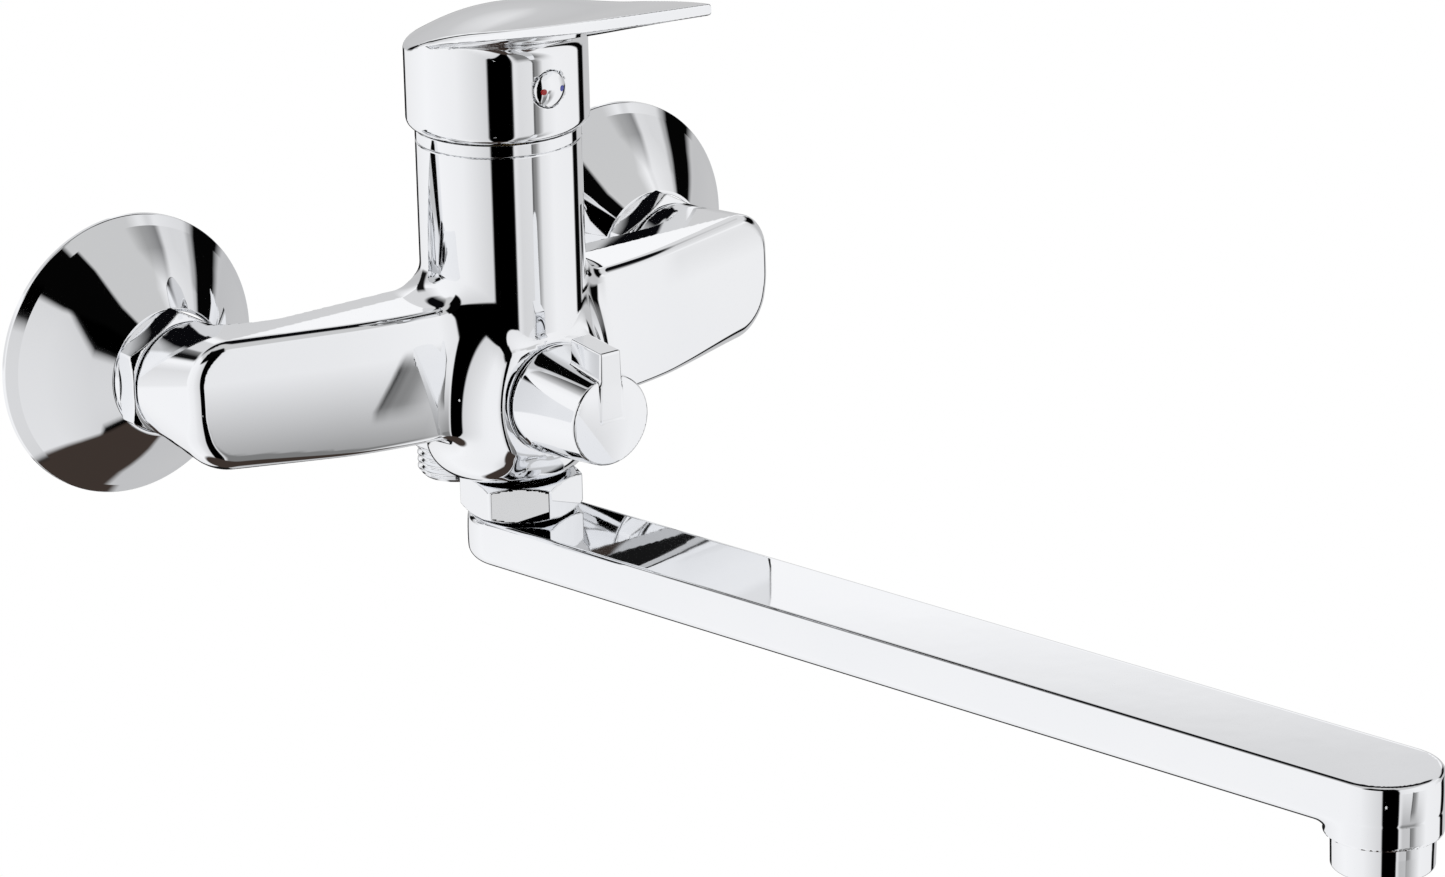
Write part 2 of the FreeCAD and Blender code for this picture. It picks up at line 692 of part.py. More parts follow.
def make_lever():
    axis = upright((0, COLUMN_Y))
    cap = S.cap_radius
    bottom = UNION + S.cap_above
    slope = math.tan(math.radians(S.lever_slope.value))
    tip_y = COLUMN_Y - S.lever_reach

    def top_at(y):
        """Height of the sloped crest at a distance y from the column axis."""
        return UNION + S.lever_top_above - y * slope

    cap_outline = [
        (0, bottom),
        (cap - 2.2, bottom, 2.2),
        (cap, bottom + 2.2),
        (cap, bottom + 50.0),
        (0, bottom + 50.0),
    ]
    cap_metal = turned("Cap", axis, cap_outline)

    # Paddle seen from above: as wide as the cap, then narrowing in two long arcs to the tip.
    paddle = new_body("Paddle")
    flank = 220.0
    plan = [
        (-cap, COLUMN_Y, flank),
        (-10.4, tip_y + 19.0, 26.0),
        (0, tip_y, 26.0),
        (10.4, tip_y + 19.0, flank),
        (cap, COLUMN_Y),
    ]
    add_pad(paddle, "XY_Plane", (0, 0, UNION + 80.0), plan, 40.0)

    # Side view: the top falls away behind the column axis; ahead of it runs a thin paddle whose
    # underside blends into the cap.
    side = new_body("Side_view")
    front = -cap
    back_y = COLUMN_Y + 30.0
    back_top = UNION + 78.5
    profile = [
        (back_y, bottom - 1.0),
        (COLUMN_Y + front, bottom - 1.0),
        (COLUMN_Y + front, UNION + 81.5, -7.0),
        (COLUMN_Y + front - 6.0, UNION + 86.8),
        (COLUMN_Y - 68.0, UNION + 97.6),
        (tip_y - 1.0, UNION + 105.2),
        (tip_y - 1.0, top_at(-92.0)),
        (COLUMN_Y, top_at(0)),
        (back_y, back_top),
    ]
    add_pad(side, "YZ_Plane", (0, 0, -30.0), profile, 60.0)
    # The top is part of a long cylinder, so that it is domed from side to side.
    dome_radius = 38.6
    rise = FreeCAD.Rotation(FreeCAD.Vector(1, 0, 0), -S.lever_slope.value)
    along = rise.multVec(FreeCAD.Vector(0, -1, 0))
    upward = rise.multVec(FreeCAD.Vector(0, 0, 1))
    start = upward * -dome_radius - along * 60.0
    dome = cylinder(
        "Dome",
        dome_radius,
        200.0,
        (0, COLUMN_Y + start.y, UNION + S.lever_top_above + start.z),
        tuple(along),
    )
    blank = fuse("Lever_blank", common("Cap_part", cap_metal, side), common("Blade", paddle, side))
    solid = common("Lever_solid", blank, dome)

    hollow = [
        (0, bottom - 2.0),
        (cap - 1.65, bottom - 2.0),
        (cap - 1.65, bottom + 6.0, 6.0),
        (cap - 7.65, bottom + 12.0),
        (0, bottom + 12.0),
    ]
    cavity = turned("Cavity", axis, hollow)

    # Hub around the stem and the boss of the set screw stay inside the hollow.
    pivot = UNION + S.pivot_above
    lean = FreeCAD.Rotation(FreeCAD.Vector(1, 0, 0), S.stem_lean.value)
    up = lean.multVec(FreeCAD.Vector(0, 0, 1))
    hub_at = up * 13.5
    hub = cylinder("Hub", 7.2, 12.0, (0, COLUMN_Y + hub_at.y, pivot + hub_at.z), tuple(up))
    screw_boss = cylinder(
        "Screw_boss", 5.8, 18.0, (0, COLUMN_Y - 3.0, UNION + S.plug_above), (0, -1, 0)
    )
    bosses = common("Bosses", fuse("Boss_metal", hub, screw_boss), cavity)
    shell = fuse("Shell", cut("Hollowed", solid, cavity), bosses)
    half = 3.45
    corner = up * 12.0 - lean.multVec(FreeCAD.Vector(0, 1, 0)) * half
    socket = box(
        "Stem_socket",
        (2 * half, 2 * half, 12.8),
        (-half, COLUMN_Y + corner.y, pivot + corner.z),
        lean,
    )
    screw_hole = cylinder(
        "Screw_hole", 2.5, 20.0, (0, COLUMN_Y - 4.0, UNION + S.plug_above), (0, -1, 0)
    )
    plug_hole = cylinder(
        "Plug_hole",
        S.plug_radius + 0.05,
        10.0,
        (0, COLUMN_Y - cap + 3.4, UNION + S.plug_above),
        (0, -1, 0),
    )
    keep(cut("Lever", shell, fuse("Lever_holes", socket, screw_hole, plug_hole)), "lever_handle")

    plug_axis = level((0, UNION + S.plug_above))
    face = COLUMN_Y - cap
    screw = [
        (0, face + 7.0),
        (1.3, face + 7.0),
        (1.3, face + 4.0),
        (2.45, face + 4.0),
        (2.45, face + 13.0),
        (1.4, face + 14.3),
        (0, face + 14.3),
    ]
    turned("Set_screw", plug_axis, screw, "handle_set_screw")

    # Domed plug; the two dots are small lenses pressed into the dome.
    dome = 1.6
    radius = S.plug_radius.value
    dome_round = (radius * radius + dome * dome) / (2 * dome)
    plug = [
        (0, face - dome, dome_round),
        (S.plug_radius, face),
        (S.plug_radius, face + 3.3),
        (0, face + 3.3),
    ]
    plug_metal = turned("Plug", plug_axis, plug)
    seats = []
    for name, x in (("red", -2.7), ("blue", 2.7)):
        depth = dome_round - math.sqrt(dome_round**2 - x**2)
        start = (x, face - dome + depth + 0.9, UNION + S.plug_above)
        seats.append(cylinder(f"Seat_{name}", 0.8, 3.0, start, (0, -1, 0)))
        dot = cylinder(f"Dot_{name}", 0.78, 1.0, start, (0, -1, 0))
        keep(dot, f"index_dot_{name}")
    keep(cut("Index_plug", plug_metal, *seats), "index_plug")


# ---------------------------------------------------------------- diverter


def make_diverter():
    height = UNION - S.knob_below
    axis = level((0, height))
    knob_axis = (0, 1, 0)
    back, front = -S.knob_back, -S.knob_front

    metal = [
        (0, front),
        (S.knob_small - 0.6, front, 0.6),
        (S.knob_small, front + 0.6),
        (S.knob_big, back),
        (S.knob_big - 1.8, back),
        (S.knob_small - 1.7, front + 2.6),
        (6.6, front + 2.6),
        (6.6, back - 0.3),
        (5.6, back - 0.3),
        (5.6, front + 5.0),
        (0, front + 5.0),
    ]
    cup = turned("Knob_cup", axis, metal)
    rib = new_body("Pointer")
    rib_outline = [
        (back - 10.5, height + 10.0),
        (back - 10.5, height + S.knob_big + 4.3, -1.0),
        (back - 11.5, height + S.knob_big + 5.0),
        (front + 0.4, height + S.knob_big + 3.9, -0.4),
        (front, height + S.knob_big + 3.5),
        (front, height + 10.0),
    ]
    add_pad(rib, "YZ_Plane", (0, 0, -3.2), rib_outline, 6.4)
    keep(fuse("Knob", cup, rib), "diverter_knob")

    insert = washer(4.02, 5.55, front + 5.3, back - 0.3)
    turned("Insert", axis, insert, "knob_spline_insert")

    # Stem: splined end in the knob, a collar behind the housing's front wall, a driving foot.
    stem = [
        (0, front + 5.6),
        (3.98, front + 5.6),
        (3.98, -76.2),
        (2.9, -76.2),
        (2.9, -74.4),
        (3.98, -74.4),
        (3.98, -73.0),
        (7.0, -73.0),
        (7.0, -70.8),
        (0, -70.8),
    ]
    turned("Diverter_stem", axis, stem, "diverter_stem")
    seal = ring("Stem_seal", 3.45, 0.53, (0, -75.3, height), knob_axis)
    keep(seal, "diverter_stem_seal")

    turning = cylinder("Turning_disc", 7.0, 3.0, (0, -70.7, height), knob_axis)
    half_moon = box("Half_moon", (4.0, 6.0, 8.0), (0.9, -72.0, height - 4.0))
    keep(cut("Turning", turning, half_moon), "diverter_moving_disc")
    still = cylinder("Still_disc", 7.3, 3.0, (0, -67.6, height), knob_axis)
    windows = [
        box("Window", (3.4, 6.0, 7.0), (x, -69.0, height - 3.5)) for x in (-5.0, 1.6)
    ]
    keep(cut("Still", still, *windows), "diverter_fixed_disc")

    sleeve = [
        (4.05, -79.4),
        (9.4, -79.4),
        (9.4, -50.0),
        (7.4, -50.0),
        (7.4, -73.3),
        (4.05, -73.3),
    ]
    sleeve_metal = turned("Sleeve", axis, sleeve)
    inlet = cylinder("Sleeve_window", 3.2, 30.0, (0, -61.0, height - 15.0))
    grooves = [
        turned(f"Seal_groove_{number}", axis, washer(8.5, 9.6, y - 0.75, y + 0.75))
        for number, y in enumerate((-77.0, -53.0))
    ]
    keep(cut("Diverter_sleeve", sleeve_metal, inlet, *grooves), "diverter_housing")
    seals = [
        ring(f"Sleeve_seal_{number}", 8.97, 0.47, (0, y, height), knob_axis)
        for number, y in enumerate((-77.0, -53.0))
    ]
    keep(group("Sleeve_seals", *seals), "diverter_seals")


# ---------------------------------------------------------------- hose outlet


def make_hose_outlet():
    axis = upright((0, -S.outlet_depth))
    nipple = [
        (6.4, UNION - 39.0),
        (S.inlet_thread - 0.8, UNION - 39.0),
        (S.inlet_thread, UNION - 38.2),
        (S.inlet_thread, UNION - 30.1),
        (10.2, UNION - 30.1),
        (10.2, UNION - 20.1),
        (6.4, UNION - 20.1),
    ]
    turned("Nipple", axis, nipple, "hose_outlet_nipple")


# ---------------------------------------------------------------- spout


def place_spout(thing):
    """Spout pieces are drawn straight out along -Y from the swivel axis, then turned."""
    return put(thing, (0, SPOUT_Y, UNION), FreeCAD.Rotation(S.spout_swing.value, 0, 0))


def make_spout():
    origin = upright((0, 0))
    top = S.spout_above
    bottom = top - S.spout_height
    half = S.spout_width * 0.5
    reach = S.spout_length
    end_radius = 14.0
    mouth = -57.0

    bar = new_body("Bar")
    plan = [
        (half, 0, 13.5),
        (0, 13.5, 13.5),
        (-half, 0),
        (-half, -reach, 13.5),
        (0, -reach - 13.5, 13.5),
        (half, -reach),
    ]
    pad = add_pad(bar, "XY_Plane", (0, 0, bottom), plan, S.spout_height)
    doc.recompute()
    lower = [
        f"Edge{number}"
        for number, edge in enumerate(pad.Shape.Edges, start=1)
        if edge.BoundBox.ZLength < 0.01
    ]
    rounding = bar.newObject("PartDesign::Fillet", "Rounded")
    rounding.Base = (pad, lower)
    rounding.Radius = BAR_ROUND
    bar.Tip = rounding
    collar = turned(
        "Collar",
        origin,
        [
            (0, bottom),
            (11.6, bottom, 2.5),
            (14.1, bottom + 2.5),
            (14.1, top - 0.4),
            (13.7, top),
            (0, top),
        ],
    )
    housing = turned(
        "End_housing",
        upright((0, -reach)),
        [
            (0, mouth),
            (end_radius - 0.5, mouth),
            (end_radius, mouth + 0.5),
            (end_radius, top - 2.0, 2.0),
            (end_radius - 2.0, top),
            (0, top),
        ],
    )
    tail = turned(
        "Tail",
        origin,
        [
            (0, top - 1.0),
            (7.9, top - 1.0),
            (7.9, -38.6),
            (6.9, -38.6),
            (6.9, -36.4),
            (7.9, -36.4),
            (7.9, -29.0),
            (7.0, -29.0),
            (7.0, -27.0),
            (7.9, -27.0),
            (7.9, -24.0),
            (7.0, -24.0),
            (7.0, -22.0),
            (7.9, -22.0),
            (7.9, -19.5),
            (0, -19.5),
        ],
    )
    channel_height = S.spout_height - 4.0
    channel = box(
        "Channel",
        (S.spout_width - 6.0, reach, channel_height),
        (-(half - 3.0), -reach, bottom + 2.0),
    )
    riser = cylinder("Riser", 5.6, 40.0, (0, 0, bottom + 3.0))
    nozzle = cylinder("Nozzle_thread", 11.2, 10.0, (0, -reach, mouth - 1.0))
    throat = cylinder("Throat", 9.0, 14.0, (0, -reach, mouth - 1.0))
    metal = fuse("Spout_metal", bar, collar, housing, tail)
    spout = cut("Spout", metal, fuse("Spout_ways", channel, riser, nozzle, throat))
    keep(place_spout(spout), "spout")

    seals = [ring(f"Tail_seal_{n}", 7.5, 0.45, (0, 0, z)) for n, z in enumerate((-28.0, -23.0))]
    keep(place_spout(group("Tail_seals", *seals)), "spout_seals")

    # The split ring sits in the tail's groove and rests on the lip of the nut.
    split_ring = turned("Ring", origin, washer(7.0, 9.7, -38.3, -38.3 + 1.6))
    split = box("Split", (1.6, 12.0, 4.0), (-0.8, 0, -40.0))
    keep(place_spout(cut("Snap", split_ring, split)), "spout_snap_ring")

    mouth_gap = mouth - 0.1
    aerator_axis = upright((0, -reach))
    shell = [
        (9.9, S.aerator_above),
        (S.aerator_radius - 0.5, S.aerator_above, 0.5),
        (S.aerator_radius, S.aerator_above + 0.5),
        (S.aerator_radius, mouth_gap),
        (11.1, mouth_gap),
        (11.1, mouth_gap + 6.0),
        (10.0, mouth_gap + 6.0),
        (10.0, S.aerator_above + 1.6),
        (9.9, S.aerator_above + 1.2),
    ]
    place_spout(turned("Aerator", aerator_axis, shell, "aerator_shell"))
    core = cylinder("Aerator_core", 9.7, 9.0, (0, -reach, S.aerator_above + 1.9))
    holes = []
    for circle, (radius, count) in enumerate(((0.001, 1), (3.0, 6), (6.0, 12))):
        for index in range(count):
            turn = math.radians(360 * index / count)
            at = (radius * math.sin(turn), radius * math.cos(turn) - reach, S.aerator_above + 1.0)
            holes.append(cylinder(f"Jet_{circle}_{index}", 0.85, 12.0, at))
    keep(place_spout(cut("Core", core, fuse("Jets", *holes))), "aerator_insert")
    place_spout(
        turned(
            "Aerator_seal",
            aerator_axis,
            washer(7.4, 11.0, mouth_gap + 6.1, mouth_gap + 7.9),
            "aerator_gasket",
        )
    )


def make_spout_nut():
    """Hexagon nut on the stub; its lip carries the spout's split ring."""
    axis = upright((0, SPOUT_Y))
    low, high = UNION - 41.0, UNION - 31.7
    corner = S.spout_nut_flats * (1 / math.sqrt(3))
    facing = 23.0
    hexagon = prism(
        "Spout_hexagon",
        S.spout_nut_flats,
        high - low,
        (0, SPOUT_Y, low),
        FreeCAD.Rotation(facing, 0, 0),
    )
    envelope = turned("Nut_envelope", axis, chamfered(low, high, corner, S.spout_nut_flats))
    bore = turned(
        "Nut_inside",
        axis,
        [
            (0, low - 1.0),
            (8.2, low - 1.0),
            (8.2, low + 2.4),
            (S.inlet_thread + 0.03, low + 2.4),
            (S.inlet_thread + 0.03, high + 1.0),
            (0, high + 1.0),
        ],
    )
    keep(cut("Spout_nut", common("Nut_block", hexagon, envelope), bore), "spout_nut")


def export_parts():
    """Check every object, then write one file for each sub-part."""
    for thing in doc.Objects:
        bad = [state for state in thing.State if state in ("Invalid", "Error")]
        if bad:
            raise RuntimeError(f"{thing.Label} failed: {bad}")
    for thing in exported:
        shape = thing.Shape
        if shape.isNull() or not shape.isValid():
            raise RuntimeError(f"{thing.Label} has no valid shape")
        solids = len(shape.Solids)
        print(f"{thing.Label:24s} {solids} solid(s) {shape.Volume / 1000:9.3f} cm3")
        shape.exportStep(f"parts/{thing.Label}.step")


make_mixer_body()
for side_name, side_sign in SIDES.items():
    make_wall_connection(side_name, side_sign)
make_cartridge()
make_lever()
make_diverter()
make_hose_outlet()
make_spout_nut()
make_spout()
doc.recompute()
export_parts()
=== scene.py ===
import json
import math

import bpy
import numpy as np
from mathutils import Matrix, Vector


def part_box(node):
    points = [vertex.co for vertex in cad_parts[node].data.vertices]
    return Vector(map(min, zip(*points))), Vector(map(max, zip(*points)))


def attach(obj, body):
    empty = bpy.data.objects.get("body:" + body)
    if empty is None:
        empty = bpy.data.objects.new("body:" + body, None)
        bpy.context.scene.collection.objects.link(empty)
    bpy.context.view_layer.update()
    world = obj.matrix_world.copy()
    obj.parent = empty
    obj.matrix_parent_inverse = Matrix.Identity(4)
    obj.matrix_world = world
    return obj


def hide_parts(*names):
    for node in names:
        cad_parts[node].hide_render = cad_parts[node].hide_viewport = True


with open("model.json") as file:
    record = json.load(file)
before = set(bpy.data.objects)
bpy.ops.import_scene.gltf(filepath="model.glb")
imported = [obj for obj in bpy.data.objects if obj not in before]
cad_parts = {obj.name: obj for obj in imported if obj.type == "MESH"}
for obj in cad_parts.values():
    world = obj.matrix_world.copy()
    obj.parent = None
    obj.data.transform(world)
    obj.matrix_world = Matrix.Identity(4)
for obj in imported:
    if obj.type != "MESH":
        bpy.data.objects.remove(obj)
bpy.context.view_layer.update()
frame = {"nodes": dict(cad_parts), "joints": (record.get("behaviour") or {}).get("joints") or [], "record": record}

# Lengths in this script are millimetres; MM turns them into Blender's metres.
MM = 0.001
X, Y, Z = 0, 1, 2

# ------------------------------------------------------------------ places read from the frame


def low(node):
    return np.array(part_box(node)[0]) / MM


def high(node):
    return np.array(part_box(node)[1]) / MM


def middle(node):
    return (low(node) + high(node)) / 2


def half_width(node):
    return (high(node)[X] - low(node)[X]) / 2


def half_depth(node):
    return (high(node)[Y] - low(node)[Y]) / 2


def joint_point(name):
    found = next(item for item in frame["joints"] if item["name"] == name)
    return np.array(found["pos_m"]) / MM


UNION_X, _, UNION_Z = middle("union_nut_right")
COLUMN_Y = middle("trim_ring")[Y]
COLUMN_R = half_width("trim_ring")
COLUMN_TOP = low("trim_ring")[Z]
KNOB_Z = joint_point("diverter_turn")[Z]
SPOUT_Y = joint_point("spout_swivel")[Y]
HOSE_Y = middle("hose_outlet_nipple")[Y]
TIP = middle("aerator_shell")
SPOUT_TURN = math.atan2(TIP[X], SPOUT_Y - TIP[Y])
SPOUT_REACH = math.hypot(TIP[X], SPOUT_Y - TIP[Y])

# ------------------------------------------------------------------ solids as distance fields
# A field takes points (n, 3) in millimetres and gives distances, negative inside.


def soft_max(a, b, radius):
    """Where two solids overlap, with a round of this radius along the edge they make."""
    corner = np.hypot(np.maximum(a + radius, 0), np.maximum(b + radius, 0))
    return np.minimum(np.maximum(a, b), -radius) + corner


def soft_min(a, b, radius):
    """Two solids joined, with a fillet of this radius in the corner between them."""
    return -soft_max(-a, -b, radius)


def carve(a, b, radius):
    """The first without the second."""
    return soft_max(a, -b, radius)


def between(values, start, end):
    """Distance outside a span."""
    return np.maximum(start - values, values - end)


def rod(p, axis, centre, radius, start, end, edge):
    """A cylinder along one axis, rounded at its ends; centre is its place on the other two."""
    others = [index for index in range(3) if index != axis]
    across = np.hypot(p[:, others[0]] - centre[0], p[:, others[1]] - centre[1])
    return soft_max(across - radius, between(p[:, axis], start, end), edge)


def smooth_step(values, start, end):
    """0 before the start, 1 after the end and an S-curve between them."""
    share = np.clip((values - start) / (end - start), 0, 1)
    return share * share * (3 - 2 * share)


def gradient(field, points, step=0.02):
    slopes = []
    for axis in range(3):
        shift = np.zeros(3)
        shift[axis] = step
        slopes.append((field(points + shift) - field(points - shift)) / (2 * step))
    return np.stack(slopes, 1)


def sample(field, origin, counts, cell):
    """The field on a grid.  Away from the surface a coarse value is enough."""
    skip = 4
    coarse_counts = [(count + skip - 1) // skip for count in counts]
    index = np.indices(coarse_counts).reshape(3, -1).T + 0.5
    coarse = field(origin + index * cell * skip).reshape(coarse_counts)
    values = coarse.repeat(skip, 0).repeat(skip, 1).repeat(skip, 2)
    values = values[: counts[0], : counts[1], : counts[2]].copy()
    chosen = np.argwhere(np.abs(values) < cell * skip * 1.3)
    values[tuple(chosen.T)] = field(origin + chosen * cell)
    return values


def surface_net(values, origin, cell):
    """One vertex in each grid cell that the surface crosses, joined into quads."""
    inside = values < 0
    shape = tuple(count - 1 for count in values.shape)
    corners = [(i, j, k) for i in (0, 1) for j in (0, 1) for k in (0, 1)]
    filled = np.zeros(shape, np.int8)
    for i, j, k in corners:
        filled += inside[i : i + shape[0], j : j + shape[1], k : k + shape[2]]
    active = (filled > 0) & (filled < len(corners))
    cells = np.argwhere(active)
    number = np.full(shape, -1, np.int64)
    number[active] = np.arange(len(cells))

    total = np.zeros((len(cells), 3))
    hits = np.zeros(len(cells))
    for start in corners:
        for axis in range(3):
            if start[axis]:
                continue
            step = np.eye(3, dtype=int)[axis]
            a = values[tuple((cells + start).T)]
            b = values[tuple((cells + start + step).T)]
            crossed = (a < 0) != (b < 0)
            share = np.where(crossed, a / np.where(crossed, a - b, 1), 0)
            total += (np.array(start, float) + np.outer(share, step)) * crossed[:, None]
            hits += crossed
    vertices = origin + (cells + total / hits[:, None]) * cell

    quads = []
    for axis in range(3):
        first, second = (axis + 1) % 3, (axis + 2) % 3
        ahead = tuple(slice(1, None) if index == axis else slice(None) for index in range(3))
        behind = tuple(slice(None, -1) if index == axis else slice(None) for index in range(3))
        edges = np.argwhere(inside[ahead] != inside[behind])
        around = []
        for back_first, back_second in ((1, 1), (0, 1), (0, 0), (1, 0)):
            cell_at = edges.copy()
            cell_at[:, first] -= back_first
            cell_at[:, second] -= back_second
            around.append(number[tuple(cell_at.T)])
        loop = np.stack(around, 1)
        flip = ~inside[tuple(edges.T)]
        loop[flip] = loop[flip][:, ::-1]
        quads.append(loop)
    return vertices, np.concatenate(quads)


def mesh_field(field, start, end, cell, place=lambda p: p):
    """Mesh a field inside a box, with every vertex moved onto the exact surface.

    place bends the grid, so that its lines can follow the edges of a bent piece.
    """
    margin = 3 * cell
    origin = np.array(start, float) - margin
    counts = [int(math.ceil(size / cell)) + 1 for size in np.array(end) + margin - origin]
    values = sample(lambda p: field(place(p)), origin, counts, cell)
    vertices, faces = surface_net(values, origin, cell)
    vertices = place(vertices)
    for _ in range(3):
        slope = gradient(field, vertices)
        size = np.maximum((slope**2).sum(1), 0.25)
        move = slope * (field(vertices) / size)[:, None]
        reach = np.linalg.norm(move, axis=1)
        limit = np.minimum(1, 0.5 * cell / np.maximum(reach, 1e-9))
        vertices = vertices - move * limit[:, None]
    normals = gradient(field, vertices)
    normals /= np.maximum(np.linalg.norm(normals, axis=1), 1e-9)[:, None]
    return vertices, faces, normals


# ------------------------------------------------------------------ turned pieces
# A profile is a list of (radius, height) or (radius, height, rounding) points.


def rounded(profile):
    """Samples (radius, height, normal) along a closed profile with its corners rounded."""
    count = len(profile)
    points = np.array([point[:2] for point in profile], float)
    samples = []
    for index, point in enumerate(profile):
        before, here, after = points[index - 1], points[index], points[(index + 1) % count]
        into = (here - before) / np.linalg.norm(here - before)
        out = (after - here) / np.linalg.norm(after - here)
        turn = math.atan2(into[0] * out[1] - into[1] * out[0], into @ out)
        rounding = point[2] if len(point) > 2 else 0
        room = 0.5 * min(np.linalg.norm(here - before), np.linalg.norm(after - here))
        reach = min(rounding * abs(math.tan(turn / 2)), room)
        first_normal = np.array([into[1], -into[0]])
        last_normal = np.array([out[1], -out[0]])
        if reach < 1e-6:
            samples.append((*here, *first_normal))
            samples.append((*here, *last_normal))
            continue
        radius = reach / math.tan(abs(turn) / 2)
        side = math.copysign(1, turn)
        centre = here - into * reach - first_normal * radius * side
        steps = max(3, int(abs(turn) / math.radians(4)) + 1)
        for share in np.linspace(0, 1, steps + 1):
            angle = turn * share
            spin = np.array(
                [[math.cos(angle), -math.sin(angle)], [math.sin(angle), math.cos(angle)]]
            )
            normal = spin @ first_normal
            samples.append((*(centre + normal * radius * side), *normal))
    return samples


def lathe(profile, centre, axis, segments=180):
    """Revolve a closed profile; heights run along the axis from the centre's coordinate."""
    samples = np.array(rounded(profile))
    count = len(samples)
    first, second = (axis + 1) % 3, (axis + 2) % 3
    vertices, normals = [], []
    for turn in np.arange(segments) * 2 * math.pi / segments:
        place = np.zeros((count, 3))
        normal = np.zeros((count, 3))
        place[:, axis] = samples[:, 1]
        normal[:, axis] = samples[:, 3]
        for side, wave in ((first, math.cos(turn)), (second, math.sin(turn))):
            place[:, side] = samples[:, 0] * wave
            normal[:, side] = samples[:, 2] * wave
        vertices.append(place + centre)
        normals.append(normal)
    lengths = np.linalg.norm(np.roll(samples[:, :2], -1, 0) - samples[:, :2], axis=1)
    quads = []
    for index in np.flatnonzero(lengths > 1e-6):
        here = index + count * np.arange(segments)
        up = (index + 1) % count + count * np.arange(segments)
        quads.append(np.stack([here, up, np.roll(up, -1), np.roll(here, -1)], 1))
    return np.concatenate(vertices), np.concatenate(quads), np.concatenate(normals)


def add_piece(name, shape, body, material, slot, *nodes):
    """A piece with exact normals that rides on a body and stands for CAD nodes."""
    vertices, faces, normals = shape
    corners = vertices[faces]
    facing = np.cross(corners[:, 2] - corners[:, 0], corners[:, 3] - corners[:, 1])
    if (facing * normals[faces].mean(1)).sum() < 0:
        faces = faces[:, ::-1]
    mesh = bpy.data.meshes.new(name)
    mesh.from_pydata((vertices * MM).tolist(), [], faces.tolist())
    mesh.polygons.foreach_set("use_smooth", [True] * len(mesh.polygons))
    mesh.normals_split_custom_set_from_vertices(normals.tolist())
    mesh.materials.append(material)
    piece = bpy.data.objects.new(name, mesh)
    bpy.context.scene.collection.objects.link(piece)
    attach(piece, body)
    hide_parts(*nodes)
    return piece


# ------------------------------------------------------------------ materials


class Finish:
    """A procedural material; its patterns are laid out in metres in the object's own space."""

    def __init__(self, name, colour, metallic=0.0):
        self.material = bpy.data.materials.new(name)
        self.material.use_nodes = True
        self.nodes = self.material.node_tree.nodes
        self.links = self.material.node_tree.links
        self.shader = self.nodes["Principled BSDF"]
        self.shader.inputs["Base Color"].default_value = (*colour, 1)
        self.shader.inputs["Metallic"].default_value = metallic
        self.space = self.nodes.new("ShaderNodeTexCoord").outputs["Object"]

    def noise(self, scale, detail=2.0, stretch=(1, 1, 1)):
        """Noise with features of about 1/scale metres, drawn out along an axis by stretch."""
        mapping = self.nodes.new("ShaderNodeMapping")
        mapping.inputs["Scale"].default_value = stretch
        self.links.new(self.space, mapping.inputs["Vector"])
        item = self.nodes.new("ShaderNodeTexNoise")
        item.inputs["Scale"].default_value = scale
        item.inputs["Detail"].default_value = detail
        self.links.new(mapping.outputs["Vector"], item.inputs["Vector"])
        return item.outputs["Fac"]

    def vary(self, socket, value, least, most):
        """Let a pattern move a number of the shader between two limits."""
        item = self.nodes.new("ShaderNodeMapRange")
        item.inputs["From Min"].default_value = 0.3
        item.inputs["From Max"].default_value = 0.7
        item.inputs["To Min"].default_value = least
        item.inputs["To Max"].default_value = most
        self.links.new(value, item.inputs["Value"])
        self.links.new(item.outputs["Result"], self.shader.inputs[socket])

    def tint(self, value, first, second):
        """Drift between two close colours."""
        item = self.nodes.new("ShaderNodeValToRGB")
        for element, place, colour in zip(item.color_ramp.elements, (0.3, 0.7), (first, second)):
            element.position = place
            element.color = (*colour, 1)
        self.links.new(value, item.inputs["Fac"])
        self.links.new(item.outputs["Color"], self.shader.inputs["Base Color"])

    def relief(self, *layers):
        """Bumps on bumps, each a pattern and its height in metres."""
        normal = None
        for value, height in layers:
            item = self.nodes.new("ShaderNodeBump")
            item.inputs["Distance"].default_value = height
            self.links.new(value, item.inputs["Height"])
            if normal is not None:
                self.links.new(normal, item.inputs["Normal"])
            normal = item.outputs["Normal"]
        self.links.new(normal, self.shader.inputs["Normal"])


def chrome():
    """Mirror chrome with a faint orange peel, polishing haze and hairline wiping marks."""
    finish = Finish("chrome", (0.9, 0.91, 0.925), 1.0)
    finish.tint(finish.noise(18, 3), (0.89, 0.9, 0.918), (0.915, 0.922, 0.932))
    haze = finish.noise(55, 6)
    finish.vary("Roughness", haze, 0.012, 0.045)
    wiping = finish.noise(900, 4, (1, 1, 0.06))
    finish.relief((finish.noise(140, 1), 0.000004), (wiping, 0.0000004))
    return finish.material


def enamel(name):
    """Glossy paint of an index dot, pooled a little unevenly."""
    thick = ENAMELS[name]
    thin = tuple(channel * 1.3 for channel in thick)
    finish = Finish(f"{name}_enamel", thick)
    finish.tint(finish.noise(900, 3), thick, thin)
    finish.vary("Roughness", finish.noise(1600, 3), 0.1, 0.24)
    finish.shader.inputs["Coat Weight"].default_value = 0.5
    finish.relief((finish.noise(1400, 2), 0.00001))
    return finish.material


def brass():
    """Turned brass: fine tool rings, slightly tarnished in patches."""
    finish = Finish("machined_brass", (0.78, 0.6, 0.28), 1.0)
    finish.tint(finish.noise(120, 5), (0.62, 0.44, 0.19), (0.8, 0.62, 0.3))
    finish.vary("Roughness", finish.noise(300, 5), 0.2, 0.42)
    finish.relief((finish.noise(260, 3, (1, 1, 9)), 0.00004), (finish.noise(1800, 2), 0.00001))
    return finish.material


